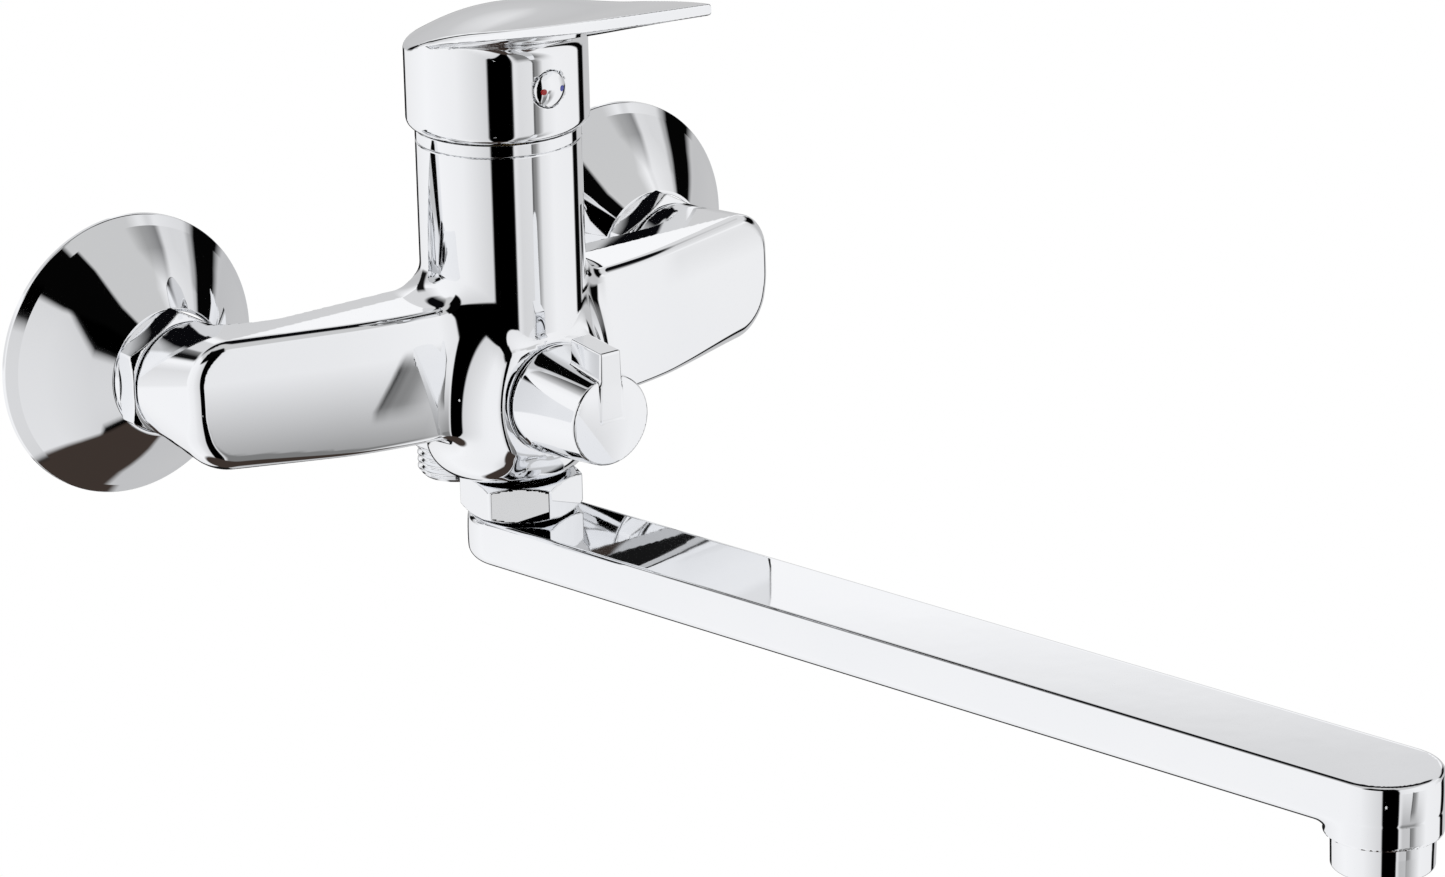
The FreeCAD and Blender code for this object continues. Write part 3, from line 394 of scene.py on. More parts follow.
def steel():
    """Turned stainless steel with lengthwise drawing lines."""
    finish = Finish("turned_steel", (0.6, 0.6, 0.61), 1.0)
    finish.tint(finish.noise(200, 4), (0.5, 0.5, 0.51), (0.63, 0.63, 0.64))
    finish.vary("Roughness", finish.noise(700, 4, (0.1, 1, 1)), 0.22, 0.4)
    finish.relief((finish.noise(1500, 3, (0.05, 1, 1)), 0.00002))
    return finish.material


def ceramic():
    """Lapped alumina: off-white, silky, with faint grey specks."""
    finish = Finish("lapped_alumina", (0.9, 0.89, 0.86))
    finish.tint(finish.noise(2500, 5), (0.8, 0.79, 0.76), (0.93, 0.92, 0.9))
    finish.vary("Roughness", finish.noise(600, 4), 0.14, 0.3)
    finish.relief((finish.noise(3000, 2), 0.000006))
    return finish.material


def white_plastic():
    """Moulded acetal: waxy, with flow marks and a slightly rough skin."""
    finish = Finish("moulded_acetal", (0.8, 0.8, 0.77))
    finish.tint(finish.noise(90, 4), (0.76, 0.76, 0.72), (0.83, 0.83, 0.81))
    finish.vary("Roughness", finish.noise(400, 4), 0.36, 0.55)
    finish.shader.inputs["Subsurface Weight"].default_value = 0.1
    finish.shader.inputs["Subsurface Scale"].default_value = 0.002
    finish.relief((finish.noise(60, 2, (1, 1, 0.3)), 0.0001), (finish.noise(2200, 3), 0.00002))
    return finish.material


def rubber():
    """Moulded rubber: matt, greyed by bloom, with a fine grain."""
    finish = Finish("moulded_rubber", (0.03, 0.03, 0.03))
    finish.tint(finish.noise(350, 6), (0.02, 0.02, 0.021), (0.055, 0.054, 0.052))
    finish.vary("Roughness", finish.noise(500, 4), 0.6, 0.85)
    finish.relief((finish.noise(2600, 4), 0.00003))
    return finish.material


ENAMELS = {"red": (0.45, 0.01, 0.01), "blue": (0.01, 0.03, 0.4)}
CHROME = chrome()
INNER = {
    "chrome": CHROME,
    "brass": brass(),
    "steel": steel(),
    "ceramic": ceramic(),
    "white_plastic": white_plastic(),
    "rubber": rubber(),
}


def finish_inner_parts():
    """The sub-parts that keep their CAD shape get the finish of their material slot."""
    for row in frame["record"]["subparts"]:
        if row["material_slot"] in INNER:
            materials = frame["nodes"][row["node"]].data.materials
            materials.clear()
            materials.append(INNER[row["material_slot"]])


# ------------------------------------------------------------------ mixer body
# The body, the knob and the bar of the spout are solid inside here.  Their chambers and waterways
# are in the CAD only, so inner parts that keep their CAD shape lie buried in these castings.  Only
# the cartridge's housing, carrier and stem stand out at the column's closed top, under the cap.

# The column's round belly ends just above the spout nut.
BELLY_Z = high("spout_nut")[Z] + 0.2
BELLY_ROUND = 8.0
COLUMN_FILLET = 7.0
# ARM_HALF is half the height of an arm.  Its front is flat up to ARM_FLAT on each side, then
# bends on a radius of ARM_BEND and runs on straight, swept back.  Behind ARM_BACK only a round
# neck is left, which ends in the lip against the union nut.
ARM_HALF = 17.0
ARM_EDGE = 1.8
ARM_FLAT = 12.0
ARM_BEND = 140.0
ARM_SWEEP = math.radians(16.5)
ARM_CROWN = 120.0
ARM_BACK = -44.0
NECK_FILLET = 10.0
ARM_FRONT = -69.5
LIP_Y = -28.2
LIP_R = 15.0
LIP_EDGE = 1.2
LIP_TO_FRONT = 24.0
END_CORNER = 10.5
END_TAPER = 1.8
# The edge around the front: its rounding in the middle and what the ends add, all round and low
# down; then where the ends begin and are full, to each side.
FRONT_EDGE = 2.4
END_EDGE, LOW_EDGE = 0.4, 2.9
LOW_EDGE_FULL = 14.0
END_FROM = (45.0, 84.0)
BOSS_R = 14.8
BOSS_FRONT = -79.8
HOSE_BOSS_R = 13.1
HOSE_BOSS_DROP = 30.0
HOSE_BOSS_FILLET = 5.0
BODY_CELL = 0.75


def arm_depth(x):
    """How far the front stands back from its middle: flat, then bent, then two straight arms."""
    out = np.maximum(np.abs(x) - ARM_FLAT, 0)
    bent = np.minimum(out, ARM_BEND * math.sin(ARM_SWEEP))
    depth = ARM_BEND - np.sqrt(ARM_BEND**2 - bent**2)
    return depth + (out - bent) * math.tan(ARM_SWEEP)


def arm_front(x, y, z):
    """Distance outside the front face, which is slightly crowned from top to bottom."""
    out = np.maximum(np.abs(x) - ARM_FLAT, 0)
    ahead = ARM_FRONT + ARM_BEND - y
    bent = np.hypot(out, ahead)
    straight = out * math.sin(ARM_SWEEP) + ahead * math.cos(ARM_SWEEP)
    plan = np.where(np.arctan2(out, ahead) > ARM_SWEEP, straight, bent) - ARM_BEND
    return plan + z**2 / (2 * ARM_CROWN)


def arm_section(across, y, z):
    """Round where it meets the union, nearly square with round corners at the front."""
    share = np.clip((LIP_Y - y) / LIP_TO_FRONT, 0, 1)
    corner = LIP_R + (END_CORNER - LIP_R) * share
    side = across - LIP_R + END_TAPER * share + corner
    top = np.abs(z) - LIP_R - (ARM_HALF - LIP_R) * share + corner
    outside = np.hypot(np.maximum(side, 0), np.maximum(top, 0))
    return outside + np.minimum(np.maximum(side, top), 0) - corner


def edge_rounding(x, z):
    """The edge around the front is crisp; it softens at the ends, most of all low down."""
    outward = smooth_step(np.abs(x), *END_FROM)
    return FRONT_EDGE + outward * (END_EDGE + LOW_EDGE * smooth_step(-z, 0.0, LOW_EDGE_FULL))


def body_field(p):
    x, y, z = p[:, X], p[:, Y], p[:, Z] - UNION_Z
    across = np.abs(x) - UNION_X
    arms = soft_min(y - ARM_BACK, arm_section(np.abs(across), y, z), NECK_FILLET)
    arms = soft_max(arms, np.abs(z) - ARM_HALF, ARM_EDGE)
    arms = np.maximum(arms, arm_section(across, y, z))
    arms = soft_max(arms, arm_front(x, y, z), edge_rounding(x, z))
    arms = soft_max(arms, y - LIP_Y, LIP_EDGE)

    # The rod is round at both ends, so it starts taller and is cut level at the top.
    column = rod(p, Z, (0, COLUMN_Y), COLUMN_R, BELLY_Z, COLUMN_TOP + 20, BELLY_ROUND)
    column = soft_max(column, p[:, Z] - COLUMN_TOP, 0.3)
    solid = soft_min(arms, column, COLUMN_FILLET)
    foot = UNION_Z - HOSE_BOSS_DROP
    hose = rod(p, Z, (0, HOSE_Y), HOSE_BOSS_R, foot, UNION_Z + 2.0, 1.5)
    solid = soft_min(solid, hose, HOSE_BOSS_FILLET)
    boss = rod(p, Y, (0, KNOB_Z), BOSS_R, BOSS_FRONT, COLUMN_Y, 0.6)
    # The fillet is broad at the flanks and fades out where the boss is flush with the column.
    fillet = 2.0 + 11.0 * smooth_step(np.abs(x), 4.0, 16.0)
    trim = 0.01 + 1.2 * smooth_step(np.abs(x), 4.0, 12.0)
    return soft_max(soft_min(solid, boss, fillet), BOSS_FRONT - y, trim)


def make_body():
    end = UNION_X + 20.0
    start = (-end, BOSS_FRONT, BELLY_Z - 1)

    def bend(p):
        return p + np.outer(arm_depth(p[:, X]), (0, 1, 0))

    corner = (end, HOSE_Y + 14.0, COLUMN_TOP)
    shape = mesh_field(body_field, start, corner, BODY_CELL, bend)
    add_piece("body_casting", shape, "mixer", CHROME, "chrome", "mixer_body")


# ------------------------------------------------------------------ wall connections


NUT_CHAMFER = math.radians(30)
NUT_CELL = 0.4
BELL_MOUTH_R = 16.3
UNION_SKIRT_R = 14.6
UNION_BORE_R = 11.2
# Bores are cut by rods that reach past both ends of their piece.
PAST = (-90, 60)


def hexagon(p, flats, turn):
    """A hexagonal bar around the middle; turn is the direction of one flat."""
    across = []
    for index in range(3):
        angle = turn + index * math.pi / 3
        offset = p[:, 0] * math.cos(angle) + p[:, 1] * math.sin(angle)
        across.append(np.abs(offset) - flats / 2)
    return soft_max(soft_max(across[0], across[1], 0.5), across[2], 0.5)


def nut_field(across, along, flats, start, end, turn):
    """Hexagon nut with both faces chamfered; across (n, 2) is measured from its axis."""
    solid = hexagon(across, flats, turn)
    solid = soft_max(solid, between(along, start, end), 0.2)
    radius = np.hypot(across[:, 0], across[:, 1])
    cone = (radius - flats / 2 - 0.1) * math.sin(NUT_CHAMFER)
    cone += between(along, start, end) * math.cos(NUT_CHAMFER)
    return soft_max(solid, cone, 0.25)


def make_wall_connection(side, name):
    """Flange and union nut of one inlet; side is -1 on the left and 1 on the right."""
    node = f"wall_flange_{name}"
    rim = half_width(node)
    mouth = -low(node)[Y]
    bell = [
        (rim, -0.02),
        (rim, -1.2, 0.6),
        (rim - 2.5, -3.4, 0.5),
        (rim - 11.0, -12.4, 200.0),
        (BELL_MOUTH_R, -mouth, 0.5),
        (BELL_MOUTH_R - 1.1, -mouth, 0.5),
        (rim - 11.9, -11.6, 200.0),
        (rim - 3.9, -2.6),
        (rim - 1.4, -1.2),
        (rim - 1.4, -0.02),
    ]
    centre = (side * UNION_X, 0, UNION_Z)
    shape = lathe(bell, centre, Y)
    add_piece(f"bell_flange_{name}", shape, "mixer", CHROME, "chrome", node)

    nut = f"union_nut_{name}"
    front, back = low(nut)[Y], high(nut)[Y]
    flats = 2 * half_width(nut)
    face_back = -mouth - 0.3

    def union_nut(p):
        place = (side * UNION_X, UNION_Z)
        solid = nut_field(p[:, [X, Z]] - place, p[:, Y], flats, front, face_back, 0)
        skirt = rod(p, Y, place, UNION_SKIRT_R, front + 1, back, 0.4)
        solid = soft_min(solid, skirt, 0.3)
        return carve(solid, rod(p, Y, place, UNION_BORE_R, *PAST, 1), 0.4)

    shape = mesh_field(union_nut, low(nut), high(nut), NUT_CELL)
    add_piece(f"hex_nut_{name}", shape, "mixer", CHROME, "chrome", nut)


# ------------------------------------------------------------------ lever

CAP_BOTTOM = low("lever_handle")[Z]
CAP_R = half_width("lever_handle")
LEVER_RISE = math.radians(14.4)
LEVER_TOP = UNION_Z + 84.1
# The sides of the paddle are arcs of SIDE_R.  Its slanted tip is set by a half width at NOSE
# ahead of the column's axis and by the direction across each slanted edge.
SIDE_R = 220.0
NOSE = 84.1
NOSE_HALF = 6.3
NOSE_ACROSS, NOSE_AHEAD = 0.88, 0.475
NOSE_ROUND = 12.0
TIP_ROUND = 3.0
# The top is domed over the cap and sinks behind DROOP_START on a parabola.
EDGE_CROWN, CAP_CROWN = 0.3, 7.2
CROWN_FADE = (-15.0, 50.0)
DROOP_START = 22.0
DROOP_SPAN = 340.0
# The underside bulges down between the paddle's edges, also on a parabola.
EDGE_THICK = 2.3
UNDER_SPAN = 134.0
HOLLOW_R = 21.2
HOLLOW_DEEP = 12.0
LEVER_CELL = 0.6
GRID_REACH = 91.0
PLUG = middle("index_plug")
PLUG_R = half_width("index_plug")
PLUG_DOME = 7.4


def lever_dome(x, width, forward):
    """How far the top stands above the sloped plane: domed over the cap, nearly flat ahead."""
    crown = EDGE_CROWN + CAP_CROWN * (1 - smooth_step(forward, *CROWN_FADE))
    droop = np.maximum(DROOP_START - forward, 0) ** 2 / DROOP_SPAN
    return crown * (1 - np.minimum(x / width, 1.5) ** 2) - droop


def lever_field(p):
    x, forward, z = np.abs(p[:, X]), COLUMN_Y - p[:, Y], p[:, Z]
    plane = (z - LEVER_TOP - forward * math.tan(LEVER_RISE)) * math.cos(LEVER_RISE)
    cap = np.hypot(x, forward) - CAP_R
    side = np.hypot(x + SIDE_R - CAP_R, forward) - SIDE_R
    # x is already positive, so point is the slanted edge of the other side.
    nose = (x - NOSE_HALF) * NOSE_ACROSS + (forward - NOSE) * NOSE_AHEAD
    point = (-x - NOSE_HALF) * NOSE_ACROSS + (forward - NOSE) * NOSE_AHEAD
    tongue = soft_max(soft_max(side, nose, NOSE_ROUND), point, TIP_ROUND)
    along = np.maximum(forward, 0)
    width = np.maximum(np.sqrt(SIDE_R**2 - along**2) - SIDE_R + CAP_R, 4.0)
    top = (plane - lever_dome(x, width, forward)) * 0.9
    under = -plane - EDGE_THICK - np.maximum(width**2 - x**2, -30) / UNDER_SPAN
    paddle = soft_max(under, soft_max(tongue, -forward, 0.1), 0.7)
    blend = 0.3 + 3.7 * (1 - smooth_step(x, 11.0, 20.0))
    solid = soft_min(cap, paddle, blend)
    solid = soft_max(solid, top, 0.8)
    solid = soft_max(solid, CAP_BOTTOM - z, 2.2)
    ceiling = CAP_BOTTOM + HOLLOW_DEEP
    hollow = rod(p, Z, (0, COLUMN_Y), HOLLOW_R, CAP_BOTTOM - 20, ceiling, 1.0)
    solid = carve(solid, hollow, 0.3)
    hole = rod(p, Y, (PLUG[X], PLUG[Z]), PLUG_R + 0.2, -90.0, PLUG[Y], 0.1)
    return carve(solid, hole, 0.15)


def plug_dome(p):
    """The round front of the index plug."""
    offset = p - PLUG - (0, PLUG_DOME - half_depth("index_plug"), 0)
    return np.linalg.norm(offset, axis=1) - PLUG_DOME


def plug_field(p):
    return soft_max(plug_dome(p), rod(p, Y, (PLUG[X], PLUG[Z]), PLUG_R, -90, PLUG[Y], 0.1), 0.3)


def make_index_dot(name):
    node = f"index_dot_{name}"
    centre, radius = middle(node), half_width(node)

    def dot(p):
        face = plug_dome(p) - 0.07
        return soft_max(face, rod(p, Y, (centre[X], centre[Z]), radius, -90, centre[Y], 0.1), 0.08)

    shape = mesh_field(dot, low(node) - (0, 1, 0), high(node), 0.16)
    add_piece(f"{name}_dot", shape, "lever", enamel(name), f"{name}_mark", node)


def make_lever():
    node = "lever_handle"

    def tilt(p):
        return p + np.outer((COLUMN_Y - p[:, Y]) * math.tan(LEVER_RISE), (0, 0, 1))

    # The grid leans with the lever, so it starts lower by the lean it has near the tip.
    start = low(node) - (0, 0, GRID_REACH * math.tan(LEVER_RISE))
    shape = mesh_field(lever_field, start, high(node), LEVER_CELL, tilt)
    add_piece("lever_casting", shape, "lever", CHROME, "chrome", node)
    node = "index_plug"
    shape = mesh_field(plug_field, low(node), high(node), 0.3)
    add_piece("plug_button", shape, "lever", CHROME, "chrome", node)
    make_index_dot("red")
    make_index_dot("blue")


def make_trim_ring():
    node = "trim_ring"
    bottom, top = low(node)[Z], high(node)[Z]
    band = [
        (COLUMN_R, bottom, 0.35),
        (COLUMN_R, top, 0.35),
        (COLUMN_R - 1.6, top),
        (COLUMN_R - 1.6, bottom),
    ]
    shape = lathe(band, (0, COLUMN_Y, 0), Z)
    add_piece("trim_band", shape, "mixer", CHROME, "chrome", node)


# ------------------------------------------------------------------ diverter knob


KNOB_DOME = 100.0
KNOB_FRONT_R = 11.35
KNOB_BACK_R = 14.2
# The pointer rib stands on the cup; it narrows upward and its top edge rises to the back.
RIB_HALF = 3.2
RIB_NARROWING = 0.03
RIB_TOP = 17.95
RIB_SLOPE = 0.075
RIB_EDGE = 0.45


def knob_field(p):
    node = "diverter_knob"
    front, back = low(node)[Y], high(node)[Y]
    x, y, z = p[:, X], p[:, Y], p[:, Z] - KNOB_Z
    taper = (KNOB_BACK_R - KNOB_FRONT_R) / (back - front)
    cone = (np.hypot(x, z) - KNOB_FRONT_R - taper * (y - front)) / math.hypot(1, taper)
    dome = front - y + (x**2 + z**2) / (2 * KNOB_DOME)
    cup = soft_max(soft_max(cone, y - back, 0.6), dome, 0.6)
    lid = z - RIB_TOP - (y - front) * RIB_SLOPE
    flank = np.abs(x) - RIB_HALF + RIB_NARROWING * (z - 11.0)
    rib = soft_max(flank, between(y, front, back - 10.5), RIB_EDGE)
    rib = soft_max(soft_max(rib, lid, RIB_EDGE), -z, 1.0)
    return soft_min(cup, rib, 0.5)


def make_knob():
    node = "diverter_knob"
    shape = mesh_field(knob_field, low(node), high(node), 0.5)
    add_piece("knob_casting", shape, "diverter_selector", CHROME, "chrome", node)


# ------------------------------------------------------------------ spout

BAR_TOP = UNION_Z - 41.5
BAR_BOTTOM = UNION_Z - 54.0
BAR_R = 13.9
BAR_CROWN = 0.3
BAR_EDGE = 1.3
BAR_BELLY = 3.4
HOUSING_BOTTOM = UNION_Z - 57.1
SPOUT_CELL = 0.65
SPOUT_NUT_FLATS = 27.0
SPOUT_NUT_TURN = math.radians(53)
SPOUT_NUT_BORE_R = 8.6


def straight_spout(p):
    """The spout as if it pointed straight out: x across, y forward from the swivel axis."""
    across, forward, z = p[:, X], p[:, Y], p[:, Z]
    past = np.maximum(np.maximum(-forward, forward - SPOUT_REACH), 0)
    level = (2 * z - BAR_TOP - BAR_BOTTOM) / (BAR_TOP - BAR_BOTTOM)
    crown = BAR_CROWN * level**2
    bar = soft_max(np.hypot(across, past) - BAR_R + crown, z - BAR_TOP, BAR_EDGE)
    bar = soft_max(bar, BAR_BOTTOM - z, BAR_BELLY)
    end = np.hypot(across, forward - SPOUT_REACH) - BAR_R + 0.15
    housing = soft_max(end, between(z, HOUSING_BOTTOM, BAR_TOP - 4.0), 0.5)
    # Only behind the outlet is there a corner to fill; at the sides the two are flush.
    fillet = 0.05 + 1.95 * smooth_step(SPOUT_REACH - forward, 1.0, 9.0)
    return soft_min(bar, housing, fillet)


def swing(p):
    """From the straight spout's own axes to its place."""
    cosine, sine = math.cos(SPOUT_TURN), math.sin(SPOUT_TURN)
    x = p[:, X] * cosine + p[:, Y] * sine
    y = SPOUT_Y + p[:, X] * sine - p[:, Y] * cosine
    return np.stack([x, y, p[:, Z]], 1)


def make_spout():
    node = "spout"
    start = (-BAR_R, -BAR_R, HOUSING_BOTTOM)
    end = (BAR_R, SPOUT_REACH + BAR_R, BAR_TOP)
    vertices, faces, normals = mesh_field(straight_spout, start, end, SPOUT_CELL)
    # The swing also mirrors, so the faces are turned over; normals take no offset.
    turned = swing(normals) - (0, SPOUT_Y, 0)
    shape = (swing(vertices), faces[:, ::-1], turned)
    add_piece("spout_casting", shape, "spout_arm", CHROME, "chrome", node)

    node = "aerator_shell"
    radius, bottom = half_width(node), low(node)[Z]
    shell = [
        (radius, UNION_Z - 50.0),
        (radius - 2.0, UNION_Z - 50.0),
        (radius - 2.2, bottom, 0.4),
        (radius - 0.1, bottom, 0.7),
        (radius, UNION_Z - 60.0, 20.0),
    ]
    shape = lathe(shell, (TIP[X], TIP[Y], 0), Z, 120)
    add_piece("aerator_sleeve", shape, "spout_arm", CHROME, "chrome", node)

    node = "spout_nut"
    bottom, top = low(node)[Z], high(node)[Z]

    def swivel_nut(p):
        across = p[:, [X, Y]] - (0, SPOUT_Y)
        solid = nut_field(across, p[:, Z], SPOUT_NUT_FLATS, bottom, top, SPOUT_NUT_TURN)
        return carve(solid, rod(p, Z, (0, SPOUT_Y), SPOUT_NUT_BORE_R, *PAST, 1), 0.3)

    shape = mesh_field(swivel_nut, low(node), high(node), NUT_CELL)
    add_piece("swivel_nut", shape, "mixer", CHROME, "chrome", node)


# ------------------------------------------------------------------ hose outlet

PITCH = 1.814
THREAD_DEPTH = 1.0
HOSE_BORE = 6.4
THREAD_LENGTH = 12.0
THREAD_CHAMFER = 1.4


def thread_radius(turn, height, radius):
    """Radius of a right-hand thread with rounded crests and roots."""
    wave = np.abs(((height / PITCH - turn / (2 * math.pi)) % 1) - 0.5) * 2
    return radius - THREAD_DEPTH * smooth_step(wave, 0.1, 0.9)


def make_hose_outlet():
    """Threaded end under the body: a grid of turns and heights, chamfered at its foot."""
    node = "hose_outlet_nipple"
    radius, bottom = half_width(node), low(node)[Z]
    foot = radius - THREAD_CHAMFER
    turns, rises = 144, 110
    turn, rise = np.meshgrid(
        np.arange(turns) * 2 * math.pi / turns, np.linspace(0, THREAD_LENGTH, rises), indexing="ij"
    )
    outside = np.minimum(thread_radius(turn, bottom + rise, radius), foot + rise)
    slope = np.gradient(outside, THREAD_LENGTH / (rises - 1), axis=1)
    ends = ((HOSE_BORE, THREAD_LENGTH, (0, 1)), (HOSE_BORE, THREAD_LENGTH, (-1, 0)))
    ends += ((HOSE_BORE, 0, (-1, 0)), (HOSE_BORE, 0, (0, -1)), (foot, 0, (0, -1)))

    vertices, normals = [], []
    for index in range(turns):
        rings = np.stack([outside[index], bottom + rise[index]], 1)
        facing = np.stack([np.ones(rises), -slope[index]], 1)
        last = outside[index, -1]
        rings = np.concatenate([rings, [(last, bottom + THREAD_LENGTH)]])
        rings = np.concatenate([rings, [(r, bottom + up) for r, up, _ in ends]])
        facing = np.concatenate([facing, [(0, 1)], [normal for _, _, normal in ends]])
        facing /= np.linalg.norm(facing, axis=1)[:, None]
        cosine, sine = math.cos(turn[index, 0]), math.sin(turn[index, 0])
        vertices.append(np.stack([rings[:, 0] * cosine, rings[:, 0] * sine + HOSE_Y, rings[:, 1]], 1))
        normals.append(np.stack([facing[:, 0] * cosine, facing[:, 0] * sine, facing[:, 1]], 1))
    count = rises + 1 + len(ends)
    here = np.arange(count)[None, :] + count * np.arange(turns)[:, None]
    up = np.roll(here, -1, axis=1)
    quads = np.stack([here, np.roll(here, -1, axis=0), np.roll(up, -1, axis=0), up], 2)
    quads = np.delete(quads, (rises - 1, rises + 1, rises + 3, count - 1), axis=1).reshape(-1, 4)
    shape = (np.concatenate(vertices), quads, np.concatenate(normals))
    add_piece("hose_thread", shape, "mixer", CHROME, "chrome", node)


make_body()
make_wall_connection(-1, "left")
make_wall_connection(1, "right")
make_lever()
make_trim_ring()
make_knob()
make_spout()
make_hose_outlet()
finish_inner_parts()

# ------------------------------------------------------------------ camera, light, floor

VIEW_TURN, VIEW_RISE, VIEW_ROLL = (math.radians(angle) for angle in (-36.94, 19.48, -1.2))
VIEW_PLACE = (-0.81338, -1.22995, 0.48648)
LENS = 149.5
SENSOR_WIDTH = 36


def make_camera():
    """Seen from the left, a little above, through a long lens."""
    camera = bpy.data.cameras.new("camera")
    camera.lens = LENS
    camera.sensor_width = SENSOR_WIDTH
    camera.clip_end = 20
    item = bpy.data.objects.new("camera", camera)
    level = math.cos(VIEW_RISE)
    back = (math.sin(VIEW_TURN) * level, -math.cos(VIEW_TURN) * level, math.sin(VIEW_RISE))
    right = np.array([math.cos(VIEW_TURN), math.sin(VIEW_TURN), 0])
    up = np.cross(back, right)
    place = Matrix.Identity(4)
    columns = (
        math.cos(VIEW_ROLL) * right + math.sin(VIEW_ROLL) * up,
        math.cos(VIEW_ROLL) * up - math.sin(VIEW_ROLL) * right,
        back,
        VIEW_PLACE,
    )
    for column, values in enumerate(columns):
        for row in range(3):
            place[row][column] = values[row]
    item.matrix_world = place
    bpy.context.scene.collection.objects.link(item)
    bpy.context.scene.camera = item


# The studio is the world around the mixer: greys laid over one another, each in its own directions.
# Directions are in degrees.  turn is 0 toward the camera and grows to the right of the picture;
# rise is 0 level and grows upward.  Greys are as the eye counts them, from 0 to 1.
#
# All around, as (turn, grey): white panels with black slits between them.
TENT = [
    (-180, 0.12),
    (-156, 0.12),
    (-153, 0.95),
    (-97, 1.0),
    (-50, 0.97),
    (-11, 0.86),
    (-8.4, 0.0),
    (21, 0.0),
    (23, 0.93),
    (60, 0.98),
    (123, 0.96),
    (126, 0.05),
    (138, 0.05),
    (141, 0.78),
    (180, 0.78),
]
# Windows each run from one limit to another with soft edges: four turns, four rises and a grey.
# A grey gap with a dark line at its side.  Both lean, by GAP_SLANT degrees across for each degree
# above GAP_FOOT.
GAP = ([44.5, 46, 50, 58], [-27, -23, -15, -11], 0.55)
LINE = ([44, 44.8, 45.5, 47], [-27, -23, -15, -11], 0.05)
GAP_SLANT = -0.45
GAP_FOOT = -24
# A shade near the ground.
SHADE = ([23, 30, 58, 80], [-89, -80, -38, -12], 0.5)
# A small lamp in the black slit, which the spout nut mirrors: its place and half its size.
LAMP_TURN, LAMP_TURN_HALF = -2.2, 1.8
LAMP_RISE, LAMP_RISE_HALF = -20.0, 0.6
LAMP_GREY = 0.86
# The backdrop, beyond the mixer as the camera sees it, as (rise, grey); then where it begins.
BACKDROP = [(-12, 0.78), (0, 0.77), (9, 0.8), (17, 1.0), (21.3, 1.0), (22.5, 0.87)]
BACKDROP_FROM = (98, 125)
BACKDROP_FOOT = (-14, -10)
# A post and a door in front of the backdrop, left and right.
POST = ([-142, -139, -126, -122], [-14, -8, 24, 30], 0.1)
DOOR = ([118, 122, 152, 160], [3, 7, 19, 25], 0.05)
# Overhead, a grey ceiling with a black canopy on the camera's side and a black one beyond.
CEILING_FROM = (44, 50)
CEILING_GREY = 0.81
CANOPY = ([-56, -50, 24, 28], [34, 38, 66, 72], 0.05)
BACK_RISE = [39, 42, 74, 80]
BACK_COLOUR = (0.003, 0.003, 0.004, 1)
# Right below, a dark brown ground.
GROUND_BELOW = (-70, -66)
GROUND_COLOUR = (0.05, 0.037, 0.031, 1)
WHITE = (1, 1, 1, 1)
WINDOW_SHARES = (0.0, 1.0, 1.0, 0.0)


def tone(level):
    """A grey as the eye counts it, turned into the light it takes."""
    return level**2.2


def grey(level):
    return (tone(level), tone(level), tone(level), 1)


def turn_share(degrees):
    """A turn as a share of its full circle, from -180 to 180 degrees."""
    return (degrees + 180) / 360


def rise_share(degrees):
    """A rise as a share of its range, from -90 to 90 degrees."""
    return (degrees + 90) / 180


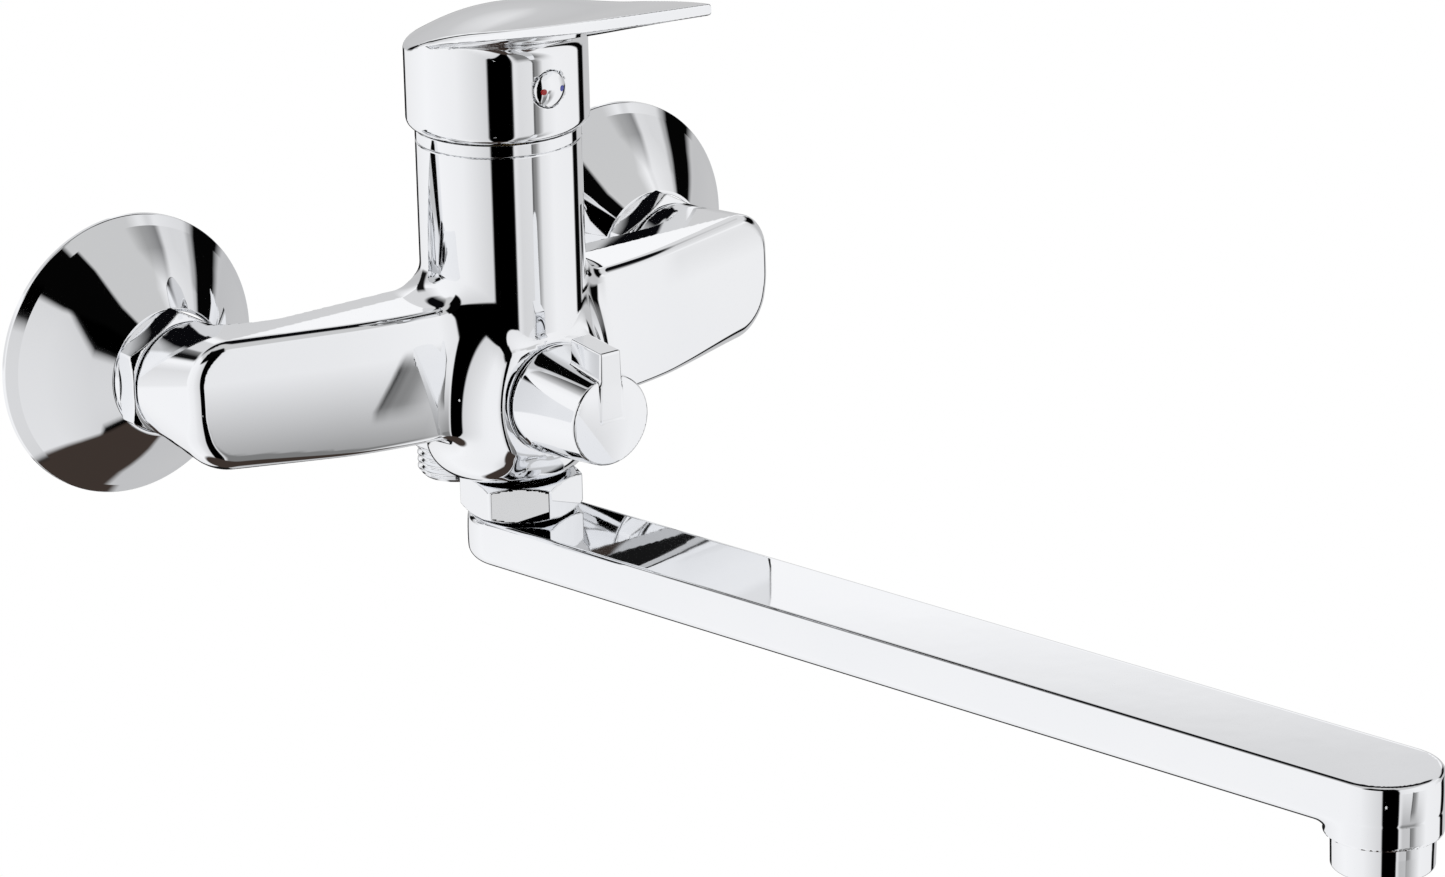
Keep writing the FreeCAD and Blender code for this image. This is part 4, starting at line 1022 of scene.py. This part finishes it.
class Studio:
    """A world shader that paints colours by direction, each over the ones before."""

    def __init__(self):
        world = bpy.data.worlds.new("studio")
        bpy.context.scene.world = world
        world.use_nodes = True
        self.nodes = world.node_tree.nodes
        self.links = world.node_tree.links
        self.background = self.nodes["Background"]
        direction = self.nodes.new("ShaderNodeTexCoord").outputs["Generated"]
        spin = self.nodes.new("ShaderNodeVectorRotate")
        spin.rotation_type = "Z_AXIS"
        spin.inputs["Angle"].default_value = -VIEW_TURN
        self.links.new(direction, spin.inputs["Vector"])
        parts = self.nodes.new("ShaderNodeSeparateXYZ")
        self.links.new(spin.outputs[0], parts.inputs[0])
        toward = self.maths("MULTIPLY", parts.outputs["Y"], -1.0)
        turn = self.maths("ARCTAN2", parts.outputs["X"], toward)
        self.turn = self.maths("MULTIPLY_ADD", turn, 0.5 / math.pi, 0.5)
        rise = self.maths("ARCSINE", parts.outputs["Z"])
        self.rise = self.maths("MULTIPLY_ADD", rise, 1 / math.pi, 0.5)
        self.panels = self.by_turn(TENT)

    def maths(self, kind, *values):
        item = self.nodes.new("ShaderNodeMath")
        item.operation = kind
        for socket, value in zip(item.inputs, values):
            if np.isscalar(value):
                socket.default_value = value
            else:
                self.links.new(value, socket)
        return item.outputs[0]

    def mix(self, share, first, second):
        item = self.nodes.new("ShaderNodeMix")
        item.data_type = "RGBA"
        for socket, value in zip((0, 6, 7), (share, first, second)):
            if isinstance(value, tuple):
                item.inputs[socket].default_value = value
            else:
                self.links.new(value, item.inputs[socket])
        return item.outputs[2]

    def ramp(self, value, stops):
        """Greys along a 0-1 value, as (place, level) stops; they are a trace bluish."""
        item = self.nodes.new("ShaderNodeValToRGB")
        elements = item.color_ramp.elements
        while len(elements) < len(stops):
            elements.new(0.5)
        for element, (place, level) in zip(elements, stops):
            element.position = place
            element.color = (tone(level), tone(level), tone(level) * 1.01, 1)
        self.links.new(value, item.inputs["Fac"])
        return item.outputs["Color"]

    def by_turn(self, stops, turn=None):
        places = [(turn_share(degrees), level) for degrees, level in stops]
        return self.ramp(self.turn if turn is None else turn, places)

    def by_rise(self, stops):
        return self.ramp(self.rise, [(rise_share(degrees), level) for degrees, level in stops])

    def paint(self, share, colour):
        """Lay a colour over what is there, as far as share says."""
        self.panels = self.mix(share, self.panels, colour)

    def window(self, turns, rises, level, turn=None):
        """Paint one grey between four turns and four rises."""
        across = self.by_turn(list(zip(turns, WINDOW_SHARES)), turn)
        upward = self.by_rise(list(zip(rises, WINDOW_SHARES)))
        self.paint(self.maths("MULTIPLY", across, upward), grey(level))

    def slanted(self):
        """The turn, leaning more the further it is above the gap's foot."""
        height = self.maths("SUBTRACT", self.rise, rise_share(GAP_FOOT))
        height = self.maths("MAXIMUM", height, 0.0)
        # A share of the rise covers half as many degrees as the same share of the turn.
        return self.maths("MULTIPLY_ADD", height, GAP_SLANT / 2, self.turn)

    def lamp(self):
        """A small block of light with hard edges."""
        across = self.maths("COMPARE", self.turn, turn_share(LAMP_TURN), LAMP_TURN_HALF / 360)
        upward = self.maths("COMPARE", self.rise, rise_share(LAMP_RISE), LAMP_RISE_HALF / 180)
        self.paint(self.maths("MULTIPLY", across, upward), grey(LAMP_GREY))

    def beyond(self):
        """How far a direction is on the far side of the mixer."""
        away = self.maths("ABSOLUTE", self.maths("SUBTRACT", self.turn, 0.5))
        near, far = BACKDROP_FROM
        return self.ramp(away, [(near / 360, 0.0), (far / 360, 1.0)])


def make_studio():
    """A white tent with black slits and a pale backdrop, a grey ceiling and a dark ground."""
    studio = Studio()
    slanted = studio.slanted()
    studio.window(*GAP, slanted)
    studio.window(*LINE, slanted)
    studio.window(*SHADE)
    studio.lamp()

    beyond = studio.beyond()
    above = studio.by_rise(list(zip(BACKDROP_FOOT, (0.0, 1.0))))
    studio.paint(studio.maths("MULTIPLY", above, beyond), studio.by_rise(BACKDROP))
    studio.window(*POST)
    studio.window(*DOOR)

    studio.paint(studio.by_rise(list(zip(CEILING_FROM, (0.0, 1.0)))), grey(CEILING_GREY))
    studio.window(*CANOPY)
    back = studio.by_rise(list(zip(BACK_RISE, WINDOW_SHARES)))
    studio.paint(studio.maths("MULTIPLY", beyond, back), BACK_COLOUR)
    studio.paint(studio.by_rise(list(zip(GROUND_BELOW, (1.0, 0.0)))), GROUND_COLOUR)

    # The camera itself sees plain white behind the mixer.
    seen = studio.nodes.new("ShaderNodeLightPath").outputs["Is Camera Ray"]
    studio.paint(seen, WHITE)
    studio.links.new(studio.panels, studio.background.inputs["Color"])


FLOOR_Z = -0.9
FLOOR_HALF = 4.0


def make_floor():
    """A plain white floor, far below; it lights nothing and no metal mirrors it."""
    mesh = bpy.data.meshes.new("floor")
    corners = ((-1, -1), (1, -1), (1, 1), (-1, 1))
    mesh.from_pydata([(x * FLOOR_HALF, y * FLOOR_HALF, FLOOR_Z) for x, y in corners], [], [range(4)])
    material = bpy.data.materials.new("floor")
    material.use_nodes = True
    shader = material.node_tree.nodes["Principled BSDF"]
    shader.inputs["Base Color"].default_value = (0, 0, 0, 1)
    shader.inputs["Specular IOR Level"].default_value = 0
    shader.inputs["Emission Color"].default_value = (1, 1, 1, 1)
    shader.inputs["Emission Strength"].default_value = 1
    mesh.materials.append(material)
    floor = bpy.data.objects.new("floor", mesh)
    floor.visible_glossy = False
    floor.visible_diffuse = False
    bpy.context.scene.collection.objects.link(floor)


make_camera()
make_studio()
make_floor()
bpy.context.scene.view_settings.view_transform = "Standard"
